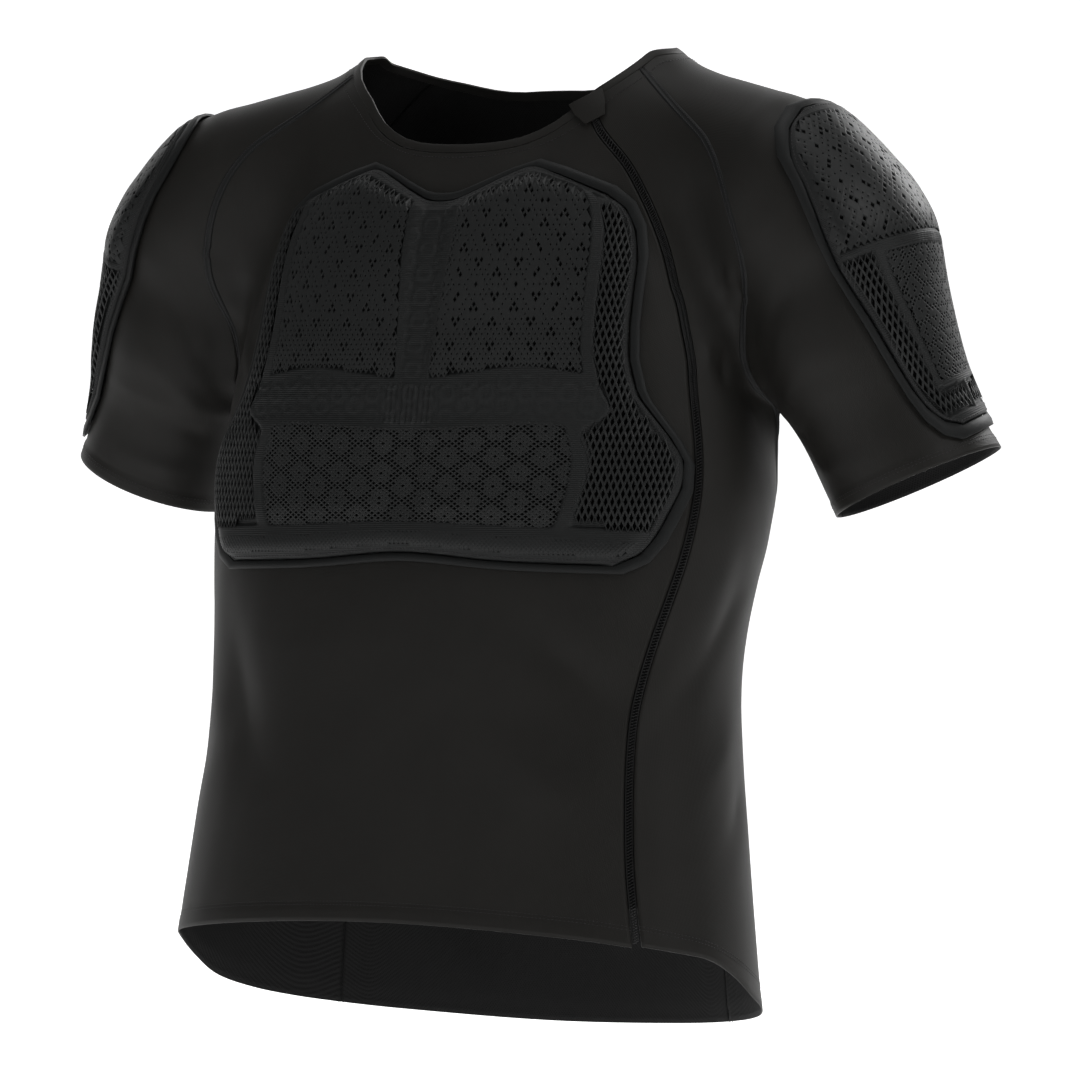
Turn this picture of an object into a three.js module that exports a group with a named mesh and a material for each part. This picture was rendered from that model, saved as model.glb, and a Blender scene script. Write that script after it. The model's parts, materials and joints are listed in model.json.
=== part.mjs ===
// Padded compression shirt, short raglan sleeves, offset front zip, worn form without a wearer.
// Millimetres, +Z up, +X towards the wearer's left, -Y towards the front.
// The origin lies between the shoulders at the height of the neck opening's highest points.
// All cloth lies on one smooth general figure: level torso sections, two shoulder beams and two arms.
import * as THREE from 'three';
import { mergeVertices } from 'three/addons/utils/BufferGeometryUtils.js';

// Driving dimensions of the cloth
const CLOTH = 1.4;            // wall of the knitted panels
const HEM_WALL = 2.2;         // wall where an edge is turned up and sewn down
const SEAM_GAP = 0.7;         // between two pieces that are sewn together
const LAID_ON = 1.6;          // between a panel and the pad that is sewn on top of it
const LAID_UNDER = 1.2;       // between a panel and the tape sewn under it
const SHOULDER_DROP_ROWS = 14; // rows of points along a raglan seam
const SIDE_ROWS = 14;         // rows of points from the armhole down to the hem
const FRONT_COLUMNS = 18;     // columns of points across each panel
const SIDE_COLUMNS = 8;
const BACK_COLUMNS = 16;
const SLEEVE_ROWS = 6;        // rows from the cuff to the underarm point
const SLEEVE_COLUMNS = 26;
const RELAX_TURNS = 12;       // how often a grid of points is evened out
const UNDERARM_PULL = 1;      // how far the sleeve's lowest point stands back from the panels
const CORNER_PULL = 0.6;      // how much more a panel's corner at the neck stands back

// Torso sections: height, half width, foremost and rearmost point
const TORSO = [
  { z: 60, half: 66, front: -14, back: 30 },
  { z: 10, half: 95, front: -36, back: 43 },
  { z: -15, half: 105, front: -48, back: 47 },
  { z: -40, half: 119, front: -61, back: 55 },
  { z: -68, half: 134, front: -76, back: 66 },
  { z: -98, half: 151, front: -93, back: 76 },
  { z: -140, half: 171, front: -109, back: 86 },
  { z: -180, half: 184, front: -118, back: 94 },
  { z: -225, half: 192, front: -128, back: 92 },
  { z: -270, half: 196, front: -134, back: 84 },
  { z: -306, half: 197, front: -139, back: 72 },
  { z: -345, half: 192, front: -146, back: 60 },
  { z: -385, half: 187, front: -152, back: 52 },
  { z: -424, half: 186, front: -156, back: 49 },
  { z: -503, half: 194, front: -167, back: 48 },
  { z: -582, half: 203, front: -180, back: 50 },
  { z: -690, half: 215, front: -194, back: 56 },
];
const SECTION_POWER = 2.3;    // 2 is an ellipse, more is squarer

// Limbs of the wearer's left side: where each starts and ends, and its radius there
const BEAM = { from: [100, 8, -56], to: [204, -14, -86], fromRadius: 51, toRadius: 54 };
const ARM_TOP = { from: [238, -7, -138], to: [246, -5, -190], fromRadius: 57, toRadius: 52 };
const ARM_LOW = { from: [246, -5, -190], to: [301, 21, -306], fromRadius: 52, toRadius: 58 };
const BEAM_BLEND = 46;        // how softly the shoulder runs into the torso
const ARM_BLEND = 26;         // how softly the arm runs into the shoulder
// How softly the arm meets the torso: tight at the armpit, wide over the shoulder
const ARMPIT = [
  { z: -240, blend: 18 },
  { z: -200, blend: 26 },
  { z: -150, blend: 50 },
  { z: -80, blend: 54 },
];
const UNDERARM_Y = -8;        // where the armhole's lowest point lies, front to back
// Where that point is looked for: between two widths, upwards from a height
const UNDERARM_SEARCH = { inner: 180, outer: 225, low: -300 };
const CREASE_INNER = 150;     // the crease at the armpit lies outside this width
const SEARCH_STEP = 0.5;
const PART_SLOPE = 2;         // how fast the arm and torso part below the underarm point

// Rays that place points on the torso: level below the pivot, fanned out of it above
const PIVOT_Z = -200;
const FAN = 130;              // millimetres of row height for each radian of fan
const FADE = 8;               // how fast a panel's rows lose the curve of its top and bottom edges
const EDGE_FADE = 6;          // how fast a sleeve's points lose what its seams were moved by
const SETTLE_TURNS = 6;       // steps that move a point onto the figure
const HALVINGS = 30;          // steps that narrow down a crossing
const CAST_STEP = 1.5;        // a ray goes out in steps of this length
const CAST_END = 420;         // and no farther than this
const ROW_SAMPLES = 60;       // samples along a row before it is evened out
const PLACE_TURNS = 20;       // rounds that find a torso place, because its row sets its ray's start
const SPREAD = [               // how far the rays' starts spread to each side
  { row: -150, spread: 140 },
  { row: -90, spread: 115 },
  { row: -30, spread: 75 },
];

// Neck edge, wearer's left half from front to back, as places near the figure
const NECK = [
  { turn: 0, x: 0, y: -75, z: -61 },
  { turn: 30, x: 36, y: -73, z: -58 },
  { turn: 60, x: 67, y: -61, z: -45 },
  { turn: 85, x: 88, y: -37, z: -28 },
  { turn: 100, x: 102, y: -12, z: -11 },
  { turn: 115, x: 112, y: 9, z: 1 },
  { turn: 130, x: 112, y: 28, z: 1 },
  { turn: 145, x: 90, y: 43, z: -9 },
  { turn: 160, x: 60, y: 46, z: -17 },
  { turn: 180, x: 0, y: 46, z: -22 },
];
const NECK_BAND = 6;          // width of the turned neck edge
const BAND_PROUD = 0.4;

// Raglan seams of the wearer's left side, from the neck down to the underarm point
const RAGLAN_FRONT = [
  { t: 0.15, x: 144, y: -43, z: -42 },
  { t: 0.3, x: 173, y: -58, z: -63 },
  { t: 0.42, x: 188, y: -69, z: -88 },
  { t: 0.56, x: 197, y: -74, z: -122 },
  { t: 0.7, x: 200, y: -64, z: -152 },
];
const RAGLAN_BACK = [
  { t: 0.15, x: 124, y: 58, z: -30 },
  { t: 0.3, x: 154, y: 76, z: -58 },
  { t: 0.45, x: 174, y: 82, z: -94 },
  { t: 0.6, x: 188, y: 76, z: -134 },
];
const CREASE_ROWS = [          // lower down, both raglan seams follow the crease at the armpit
  { t: 0.82, up: 42 },
  { t: 0.9, up: 22 },
  { t: 0.96, up: 7 },
];
const NECK_TURN_FRONT = 94;   // where the raglan seams reach the neck edge, in degrees of its turn
const NECK_TURN_BACK = 146;
const NECK_TURN_ZIP = 77;

// Back seam below the armhole, as places near the figure
const SIDE_SEAM = [
  { z: -320, x: 176, y: 40 },
  { z: -450, x: 150, y: 38 },
  { z: -660, x: 160, y: 46 },
];

// Front zip on the wearer's left, as places near the figure
const ZIP_LINE = [
  { x: 82, y: -48, z: -34 },
  { x: 98, y: -58, z: -54 },
  { x: 120, y: -65, z: -79 },
  { x: 146, y: -68, z: -123 },
  { x: 159, y: -68, z: -164 },
  { x: 172, y: -73, z: -219 },
  { x: 179, y: -77, z: -264 },
  { x: 180, y: -82, z: -292 },
  { x: 175, y: -92, z: -332 },
  { x: 159, y: -113, z: -405 },
  { x: 155, y: -120, z: -441 },
  { x: 160, y: -131, z: -516 },
  { x: 169, y: -136, z: -577 },
];
const ZIP_WIDTH = 4.8;        // the chain, between the edges of the two panels
const ZIP_PROUD = 0.7;
const ZIP_WALL = 2;
const ZIP_START = 10;         // the chain starts this far below the neck's edge
const ZIP_END = 3;            // and stops this far above the hem's edge
const ZIP_BEND = 2;           // rows over which the zip turns to its place on the neck edge
const TAPE_WIDTH = 24;        // woven tape that carries the chain, inside the shirt
const TAPE_WALL = 1;
const GARAGE = [
  { down: 1, half: 12 },
  { down: 10, half: 11 },
  { down: 20, half: 7 },
];
const GARAGE_WALL = 1;

// Hem height round the torso
const HEM = [
  { angle: 0, z: -561 },
  { angle: 20, z: -564 },
  { angle: 45, z: -573 },
  { angle: 70, z: -584 },
  { angle: 92, z: -600 },
  { angle: 115, z: -615 },
  { angle: 135, z: -627 },
  { angle: 155, z: -635 },
  { angle: 180, z: -639 },
];

// Sleeve axis from the cuff to the neck, and how its rows are spaced
const SLEEVE_AXIS = [
  { s: 0, x: 290, y: 16, z: -288 },
  { s: 0.5, x: 267, y: 4, z: -234 },
  { s: 1, x: 250, y: -5, z: -188 },
  { s: 1.5, x: 237, y: -8, z: -156 },
  { s: 2, x: 221, y: -9, z: -127 },
  { s: 2.5, x: 200, y: -8, z: -105 },
  { s: 3, x: 172, y: -4, z: -89 },
  { s: 4, x: 118, y: 6, z: -72 },
  { s: 5, x: 70, y: 8, z: -60 },
];
const CUFF_LOW = 0.02;        // where the cuff's back edge stands, in lengths of s
const CUFF_RISE = 0.1;        // how much higher its front stands
const SLEEVE_END = 5;         // s at the neck end of the axis
const AXIS_STEP = 0.05;       // half the length of s that a tangent is taken over
const PLACE_STEP = 0.25;      // first and last step in the search for a point's place on the axis
const PLACE_FINEST = 1e-4;
const EDGE_SHIFT = 6;         // a sleeve ray that misses its seam by more has slipped past the armpit

// Chest pad seen from the front: half widths down its height, and the heights of its two edges
const CHEST_TOP = -93;
const CHEST_BOTTOM = -338;
const CHEST_SIDE = [
  { v: 0, half: 114 },
  { v: 0.03, half: 125 },
  { v: 0.07, half: 131 },
  { v: 0.13, half: 138 },
  { v: 0.3, half: 141 },
  { v: 0.4, half: 142 },
  { v: 0.5, half: 147 },
  { v: 0.57, half: 155 },
  { v: 0.64, half: 167 },
  { v: 0.71, half: 176 },
  { v: 0.77, half: 178 },
  { v: 0.84, half: 174 },
  { v: 0.93, half: 166 },
  { v: 0.98, half: 157 },
  { v: 1, half: 146 },
];
const CHEST_TOP_EDGE = [
  { u: -0.12, z: -94 },
  { u: 0, z: -96 },
  { u: 0.12, z: -94 },
  { u: 0.5, z: -75 },
  { u: 0.58, z: -75 },
  { u: 1, z: -92 },
];
const CHEST_BOTTOM_EDGE = [
  { u: -0.5, z: -337 },
  { u: 0, z: -332 },
  { u: 0.5, z: -337 },
  { u: 1, z: -339 },
];
const CHEST_COLUMNS = [-1, -0.94, -0.84, -0.7, -0.54, -0.4, -0.26, -0.12, -0.06, 0];
const CHEST_ROWS = [
  0, 0.04, 0.1, 0.18, 0.27, 0.36, 0.45, 0.53, 0.56, 0.62, 0.66, 0.72, 0.79, 0.87, 0.92, 0.97, 1,
];
const CHEST_PAD = 8.5;        // foam under its knitted cover
const PAD_RIM = 3;            // pad where its binding holds it down
const BINDING_WIDTH = 5;
const BINDING_WALL = 2.8;
const BINDING_ROUND = 0.9;    // how much its edges drop below its middle
const CHANNEL = 1.6;          // depth of the flexing channels between the pad's fields
const CHEST_COLUMN = 0.1;     // half width of the middle channel, as a share of the pad's half width
const CHEST_BAND = { from: 0.52, to: 0.64 }; // the level channel, as shares of the pad's height
const CHEST_LOW_EDGE = 0.9;   // where the channel along the lower edge starts

// Shoulder pad on the sleeve: half angles round the sleeve axis from the top of the shoulder to the cuff
const SHOULDER_SIDE = [
  { s: 2.66, half: 30 },
  { s: 2.58, half: 44 },
  { s: 2.42, half: 54 },
  { s: 2.1, half: 59 },
  { s: 1.85, half: 62 },
  { s: 1.44, half: 61 },
  { s: 1.05, half: 55 },
  { s: 0.64, half: 48 },
  { s: 0.34, half: 42 },
  { s: 0.23, half: 35 },
  { s: 0.17, half: 24 },
];
const SHOULDER_FOAM = [        // thickness of the pad down its middle
  { s: 2.66, thick: 3 },
  { s: 2.3, thick: 4.5 },
  { s: 1.9, thick: 9.5 },
  { s: 1.5, thick: 11.5 },
  { s: 1, thick: 11 },
  { s: 0.5, thick: 7 },
  { s: 0.17, thick: 3 },
];
const SHOULDER_ROWS = [0.17, 0.23, 0.34, 0.5, 0.74, 1, 1.25, 1.5, 1.75, 2, 2.2, 2.42, 2.58, 2.66];
const SLEEVE_REACH = 62;       // radius at which an inset becomes an angle
const AXIS_SCALE = 75;         // millimetres along the axis for each whole s
const SHOULDER_COLUMNS = [-1, -0.88, -0.66, -0.42, -0.2, 0];

const figure = makeFigure();

function smoothColumn(table, key, column, at) {
  // Catmull-Rom through a table whose key column rises or falls steadily
  const rising = table[table.length - 1][key] > table[0][key];
  let i = 0;
  while (i < table.length - 2 && (rising ? at > table[i + 1][key] : at < table[i + 1][key])) i++;
  const a = table[Math.max(i - 1, 0)];
  const b = table[i];
  const c = table[i + 1];
  const d = table[Math.min(i + 2, table.length - 1)];
  const span = c[key] - b[key];
  const t = THREE.MathUtils.clamp((at - b[key]) / span, 0, 1);
  const slopeB = c === a ? 0 : (c[column] - a[column]) / (c[key] - a[key]) * span;
  const slopeC = d === b ? 0 : (d[column] - b[column]) / (d[key] - b[key]) * span;
  const t2 = t * t;
  const t3 = t2 * t;
  return (2 * t3 - 3 * t2 + 1) * b[column] + (t3 - 2 * t2 + t) * slopeB
    + (3 * t2 - 2 * t3) * c[column] + (t3 - t2) * slopeC;
}

function smoothMin(a, b, blend) {
  const h = Math.max(blend - Math.abs(a - b), 0) / blend;
  return Math.min(a, b) - h * h * blend / 4;
}

function makeFigure() {
  const torsoAt = (z) => {
    const front = smoothColumn(TORSO, 'z', 'front', z);
    const back = smoothColumn(TORSO, 'z', 'back', z);
    const half = smoothColumn(TORSO, 'z', 'half', z);
    return { half, middle: (front + back) / 2, depth: (back - front) / 2 };
  };
  const torsoDistance = (x, y, z) => {
    const section = torsoAt(z);
    const dy = y - section.middle;
    const power = SECTION_POWER;
    const sum = Math.abs(x / section.half) ** power + Math.abs(dy / section.depth) ** power;
    const ratio = sum ** (1 / power);
    const reach = Math.hypot(x, dy);
    return ratio < 1e-6 ? -section.depth : reach - reach / ratio;
  };
  const limbDistance = (limb, x, y, z) => {
    const [ax, ay, az] = limb.from;
    const [bx, by, bz] = [limb.to[0] - ax, limb.to[1] - ay, limb.to[2] - az];
    const along = ((x - ax) * bx + (y - ay) * by + (z - az) * bz) / (bx * bx + by * by + bz * bz);
    const t = THREE.MathUtils.clamp(along, 0, 1);
    const radius = limb.fromRadius + (limb.toRadius - limb.fromRadius) * t;
    return Math.hypot(x - ax - bx * t, y - ay - by * t, z - az - bz * t) - radius;
  };
  const trunkDistance = (x, y, z) => smoothMin(
    torsoDistance(x, y, z), limbDistance(BEAM, Math.abs(x), y, z), BEAM_BLEND);
  const armDistance = (x, y, z) => smoothMin(
    limbDistance(ARM_TOP, Math.abs(x), y, z), limbDistance(ARM_LOW, Math.abs(x), y, z), ARM_BLEND);
  const armpitBlend = (z) => smoothColumn(ARMPIT, 'z', 'blend', z);
  // The armhole's lowest point: below it a gap opens between the arm and the torso
  const merged = (x, y, z) => smoothMin(trunkDistance(x, y, z), armDistance(x, y, z), armpitBlend(z));
  const findUnderarm = () => {
    const widest = (z) => {
      let best = { x: 0, gap: -Infinity };
      for (let x = UNDERARM_SEARCH.inner; x <= UNDERARM_SEARCH.outer; x += SEARCH_STEP) {
        const gap = merged(x, UNDERARM_Y, z);
        if (gap > best.gap) best = { x, gap };
      }
      return best;
    };
    let z = UNDERARM_SEARCH.low;
    while (widest(z + 1).gap > 0) z += 1;
    return new THREE.Vector3(widest(z).x, UNDERARM_Y, z);
  };
  const underarm = findUnderarm();
  // The crease between arm and torso at a height above the underarm point, forwards or backwards of it
  const crease = (z, way) => {
    let y = underarm.y;
    const middle = () => {
      let x = CREASE_INNER;
      while (trunkDistance(x, y, z) < armDistance(x, y, z)) x += SEARCH_STEP;
      return x;
    };
    while (merged(middle(), y, z) < 0) y += way;
    return { x: middle(), y, z };
  };
  const parting = (z) => PART_SLOPE * Math.max(0, underarm.z - z);
  const onTorso = (x, y, z) => smoothMin(
    trunkDistance(x, y, z), armDistance(x, y, z) + parting(z), armpitBlend(z));
  const onSleeve = (x, y, z) => smoothMin(
    armDistance(x, y, z), trunkDistance(x, y, z) + parting(z), armpitBlend(z));
  const normal = (p, distance) => {
    const e = SEARCH_STEP;
    return new THREE.Vector3(
      distance(p.x + e, p.y, p.z) - distance(p.x - e, p.y, p.z),
      distance(p.x, p.y + e, p.z) - distance(p.x, p.y - e, p.z),
      distance(p.x, p.y, p.z + e) - distance(p.x, p.y, p.z - e),
    ).normalize();
  };
  const cast = (origin, direction, distance) => {
    const step = CAST_STEP;
    let near = 0;
    let far = step;
    const at = (d) => {
      const p = origin.clone().addScaledVector(direction, d);
      return distance(p.x, p.y, p.z);
    };
    while (far < CAST_END && at(far) < 0) {
      near = far;
      far += step;
    }
    for (let i = 0; i < HALVINGS; i++) {
      const middle = (near + far) / 2;
      if (at(middle) < 0) near = middle;
      else far = middle;
    }
    return origin.clone().addScaledVector(direction, near);
  };
  return { torsoAt, onTorso, onSleeve, normal, cast, underarm, crease };
}

// A place on the torso is an angle from the front (degrees) and a row height
function torsoPoint(place) {
  const a = THREE.MathUtils.degToRad(place.angle);
  const level = Math.min(place.row, PIVOT_Z);
  const lift = Math.max(place.row - PIVOT_Z, 0) / FAN;
  const spread = smoothColumn(SPREAD, 'row', 'spread', place.row);
  const origin = new THREE.Vector3(spread * Math.sin(a), figure.torsoAt(level).middle, level);
  const direction = new THREE.Vector3(
    Math.sin(a) * Math.cos(lift), -Math.cos(a) * Math.cos(lift), Math.sin(lift));
  return figure.cast(origin, direction, figure.onTorso);
}

function torsoPlace(x, y, z) {
  const middle = figure.torsoAt(Math.min(z, PIVOT_Z)).middle;
  const side = Math.abs(x);
  const quarter = y < middle ? 0 : Math.PI / 2;
  let row = z;
  let a = quarter;
  for (let turn = 0; turn < PLACE_TURNS; turn++) {
    const spread = smoothColumn(SPREAD, 'row', 'spread', row);
    let low = quarter;
    let high = quarter + Math.PI / 2;
    for (let k = 0; k < HALVINGS; k++) {
      a = (low + high) / 2;
      if ((side - spread * Math.sin(a)) * Math.cos(a) > (middle - y) * Math.sin(a)) low = a;
      else high = a;
    }
    const reach = Math.hypot(side - spread * Math.sin(a), y - middle);
    row = z <= PIVOT_Z ? z : PIVOT_Z + FAN * Math.atan2(z - PIVOT_Z, reach);
  }
  return { angle: THREE.MathUtils.radToDeg(a) * (x < 0 ? -1 : 1), row };
}

// A point is moved onto the figure along the steepest way
function settle(p, on = figure.onTorso) {
  const moved = p.clone();
  for (let k = 0; k < SETTLE_TURNS; k++) {
    const away = on(moved.x, moved.y, moved.z);
    moved.addScaledVector(figure.normal(moved, on), -away);
  }
  return moved;
}

// The place of a named point, first moved onto the figure
function settledPlace(row) {
  const p = settle(new THREE.Vector3(row.x, row.y, row.z));
  return torsoPlace(p.x, p.y, p.z);
}

// A raglan seam is a smooth line of torso places from the neck edge to the underarm point
const underarmPlace = torsoPlace(figure.underarm.x, figure.underarm.y, figure.underarm.z);
function raglanSeam(table, neckTurn, way) {
  const top = torsoPoint(neckPlace(neckTurn));
  const inside = table.map((r) => ({ t: r.t, point: settle(new THREE.Vector3(r.x, r.y, r.z)) }));
  const low = CREASE_ROWS.map((r) => ({ t: r.t, point: figure.crease(figure.underarm.z + r.up, way) }));
  const rows = [{ t: 0, point: top }, ...inside, ...low, { t: 1, point: figure.underarm }]
    .map((r) => ({ t: r.t, x: r.point.x, y: r.point.y, z: r.point.z }));
  const point = (t) => {
    if (t === 0) return top.clone();
    if (t === 1) return figure.underarm.clone();
    return settle(new THREE.Vector3(...['x', 'y', 'z'].map((column) => smoothColumn(rows, 't', column, t))));
  };
  const place = (t) => {
    if (t === 0) return neckPlace(neckTurn);
    const p = point(t);
    return torsoPlace(p.x, p.y, p.z);
  };
  return { place, point };
}

// Rows past each end are the mirror images of the last but one, so the line runs smoothly across the middle
function withMirrors(table, key) {
  const past = (row, end) => ({ ...row, [key]: 2 * end - row[key] });
  const n = table.length;
  return [past(table[1], table[0][key]), ...table, past(table[n - 2], table[n - 1][key])];
}

function neckTable() {
  const places = NECK.map((r) => ({ turn: r.turn, ...settledPlace(r) }));
  const n = places.length;
  const first = { turn: -places[1].turn, angle: -places[1].angle, row: places[1].row };
  const before = places[n - 2];
  const last = { turn: 360 - before.turn, angle: 360 - before.angle, row: before.row };
  return [first, ...places, last];
}
const neckPlaces = neckTable();

// Turn round the neck in degrees, 0 at the front, positive to the wearer's left
function neckPlace(turn) {
  const at = Math.abs(turn);
  const angle = smoothColumn(neckPlaces, 'turn', 'angle', at);
  return { angle: turn < 0 ? -angle : angle, row: smoothColumn(neckPlaces, 'turn', 'row', at) };
}

const raglanFront = raglanSeam(RAGLAN_FRONT, NECK_TURN_FRONT, -1);
const raglanBack = raglanSeam(RAGLAN_BACK, NECK_TURN_BACK, 1);
const hemTable = withMirrors(HEM, 'angle');
function hemRow(angle) {
  return smoothColumn(hemTable, 'angle', 'z', Math.min(Math.abs(angle), 180));
}

// The seams below the armhole are given as places too: t 0 at the underarm point, 1 at the hem
const sidePlaces = [underarmPlace, ...SIDE_SEAM.map(settledPlace)];
function sideSeam(t) {
  const top = sidePlaces[0].row;
  const row = top + (hemRow(sidePlaces[sidePlaces.length - 1].angle) - top) * t;
  return { angle: smoothColumn(sidePlaces, 'row', 'angle', row), row };
}

const mirrored = (place) => ({ angle: -place.angle, row: place.row });

// Long seams from the neck to the hem, v 0 to 1 in steps that every panel shares
const LONG_ROWS = SHOULDER_DROP_ROWS + SIDE_ROWS;
function longSeam(raglan, i) {
  if (i <= SHOULDER_DROP_ROWS) return raglan.place(i / SHOULDER_DROP_ROWS);
  return sideSeam((i - SHOULDER_DROP_ROWS) / SIDE_ROWS);
}

// The zip starts at the neck edge and ends at the hem, its rows level with those of the raglan seam
const zipPlaces = ZIP_LINE.map(settledPlace);
function zipSeam(i) {
  const start = neckPlace(NECK_TURN_ZIP);
  const lowest = zipPlaces[zipPlaces.length - 1];
  const row = i <= SHOULDER_DROP_ROWS
    ? THREE.MathUtils.lerp(start.row, underarmPlace.row, i / SHOULDER_DROP_ROWS)
    : THREE.MathUtils.lerp(underarmPlace.row, hemRow(lowest.angle), (i - SHOULDER_DROP_ROWS) / SIDE_ROWS);
  const angle = smoothColumn(zipPlaces, 'row', 'angle', row);
  const bend = Math.max(0, 1 - i / ZIP_BEND);
  return { angle: angle + (start.angle - angle) * bend, row };
}

// A four-sided patch between border places: what curves its top and bottom fades out inwards
function patchPlace(spec, i, u) {
  const { top, bottom, left, right } = spec;
  const v = i / LONG_ROWS;
  const mix = (key) => (1 - u) * left(i)[key] + u * right(i)[key]
    + (1 - v) ** FADE * (top(u)[key] - (1 - u) * top(0)[key] - u * top(1)[key])
    + v ** FADE * (bottom(u)[key] - (1 - u) * bottom(0)[key] - u * bottom(1)[key]);
  return { angle: mix('angle'), row: mix('row') };
}

// One row of a patch, its points the same distance apart
function evenRow(spec, i) {
  const samples = [];
  for (let k = 0; k <= ROW_SAMPLES; k++) samples.push(torsoPoint(patchPlace(spec, i, k / ROW_SAMPLES)));
  const lengths = [0];
  for (let k = 1; k <= ROW_SAMPLES; k++) lengths.push(lengths[k - 1] + samples[k].distanceTo(samples[k - 1]));
  const row = [];
  for (let j = 0; j <= spec.columns; j++) {
    const want = lengths[ROW_SAMPLES] * j / spec.columns;
    let k = 0;
    while (k < ROW_SAMPLES - 1 && lengths[k + 1] < want) k++;
    const share = (want - lengths[k]) / (lengths[k + 1] - lengths[k]);
    row.push(torsoPoint(patchPlace(spec, i, (k + share) / ROW_SAMPLES)));
  }
  return row;
}

// Evens out a grid of points: each inner point goes between its neighbours, on the torso.
// The rows above and below it count by the given weight.
function relax(points, weight) {
  for (let turn = 0; turn < RELAX_TURNS; turn++) {
    for (let i = 1; i < points.length - 1; i++) {
      for (let j = 1; j < points[i].length - 1; j++) {
        const middle = points[i][j - 1].clone().add(points[i][j + 1]);
        middle.addScaledVector(points[i - 1][j], weight).addScaledVector(points[i + 1][j], weight);
        points[i][j] = settle(middle.divideScalar(2 + 2 * weight));
      }
    }
  }
}

function pullIn(points, on, closed, distances) {
  // Moves the border rows and columns of a grid of points inwards, over the surface
  const rows = points.length;
  const columns = points[0].length;
  const moved = points.map((line) => line.map((p) => p.clone()));
  const within = (k, count) => THREE.MathUtils.clamp(k, 0, count - 1);
  const at = (i, j) => points[within(i, rows)][within(j, columns)];
  const shift = (i, j, inward, along, by) => {
    if (by === 0) return;
    const way = inward.clone().sub(points[i][j]);
    for (const axis of [along, figure.normal(points[i][j], on)]) way.addScaledVector(axis, -way.dot(axis));
    moved[i][j] = settle(moved[i][j].addScaledVector(way.normalize(), by), on);
  };
  // A corner moves along its own seam, so that it stays beside that seam
  const shiftCorner = (i, next, j, along, by) => {
    if (by === 0) return;
    const way = points[next][j].clone().sub(points[i][j]).normalize();
    const across = way.clone().addScaledVector(along, -way.dot(along)).length();
    moved[i][j] = settle(points[i][j].clone().addScaledVector(way, (by + CORNER_PULL) / across), on);
  };
  for (let j = 0; j < columns; j++) {
    const run = (i) => at(i, j + 1).clone().sub(at(i, j - 1)).normalize();
    const move = j === 0 || j === columns - 1
      ? (i, next, by) => shiftCorner(i, next, j, run(i), by)
      : (i, next, by) => shift(i, j, points[next][j], run(i), by);
    move(0, 1, distances.top);
    move(rows - 1, rows - 2, distances.bottom);
  }
  for (let i = 0; i < rows; i++) {
    if (closed(i)) continue;
    const run = (j) => at(i + 1, j).clone().sub(at(i - 1, j)).normalize();
    shift(i, 0, points[i][1], run(0), distances.left);
    shift(i, columns - 1, points[i][columns - 2], run(columns - 1), distances.right);
  }
  return moved;
}

function volume(positions, indices) {
  const corner = (k) => new THREE.Vector3().fromArray(positions, 3 * indices[k]);
  let sum = 0;
  for (let k = 0; k < indices.length; k += 3) sum += corner(k).dot(corner(k + 1).cross(corner(k + 2)));
  return sum / 6;
}

// A closed wall over a grid of points: outer and inner skins and the rims between them
function wall(points, on, out, thickness, closed = () => false) {
  const rows = points.length;
  const columns = points[0].length;
  const positions = [];
  const indices = [];
  const put = (p) => {
    positions.push(p.x, p.y, p.z);
    return positions.length / 3 - 1;
  };
  const outer = [];
  const inner = [];
  for (let i = 0; i < rows; i++) {
    outer.push([]);
    inner.push([]);
    for (let j = 0; j < columns; j++) {
      const normal = figure.normal(points[i][j], on);
      const lift = typeof out === 'function' ? out(i, j) : out;
      const depth = typeof thickness === 'function' ? thickness(i, j) : thickness;
      outer[i].push(put(points[i][j].clone().addScaledVector(normal, lift)));
      inner[i].push(put(points[i][j].clone().addScaledVector(normal, lift - depth)));
    }
  }
  const quad = (a, b, c, d) => indices.push(a, b, c, a, c, d);
  for (let i = 0; i < rows - 1; i++) {
    for (let j = 0; j < columns - 1; j++) {
      quad(outer[i][j], outer[i + 1][j], outer[i + 1][j + 1], outer[i][j + 1]);
      quad(inner[i][j], inner[i][j + 1], inner[i + 1][j + 1], inner[i + 1][j]);
    }
    if (closed(i) && closed(i + 1)) continue;
    quad(outer[i][0], inner[i][0], inner[i + 1][0], outer[i + 1][0]);
    const last = columns - 1;
    quad(outer[i][last], outer[i + 1][last], inner[i + 1][last], inner[i][last]);
  }
  for (let j = 0; j < columns - 1; j++) {
    quad(outer[0][j], outer[0][j + 1], inner[0][j + 1], inner[0][j]);
    const last = rows - 1;
    quad(outer[last][j], inner[last][j], inner[last][j + 1], outer[last][j + 1]);
  }
  if (volume(positions, indices) < 0) indices.reverse();
  const geometry = new THREE.BufferGeometry();
  geometry.setAttribute('position', new THREE.Float32BufferAttribute(positions, 3));
  geometry.setIndex(indices);
  return mergeVertices(geometry, 1e-3);
}

const shirt = new THREE.Group();
const materials = {
  jersey: new THREE.MeshStandardMaterial({ color: 0x262523, roughness: 0.75, metalness: 0 }),
  mesh: new THREE.MeshStandardMaterial({ color: 0x1b1b1b, roughness: 0.85, metalness: 0 }),
  pad: new THREE.MeshStandardMaterial({ color: 0x202222, roughness: 0.8, metalness: 0 }),
  binding: new THREE.MeshStandardMaterial({ color: 0x1a1c1c, roughness: 0.6, metalness: 0 }),
  zip: new THREE.MeshStandardMaterial({ color: 0x0e0e0d, roughness: 0.5, metalness: 0 }),
  tape: new THREE.MeshStandardMaterial({ color: 0x111110, roughness: 0.85, metalness: 0 }),
};

function add(name, geometry, material) {
  const mesh = new THREE.Mesh(geometry, material);
  mesh.name = name;
  shirt.add(mesh);
}

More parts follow.
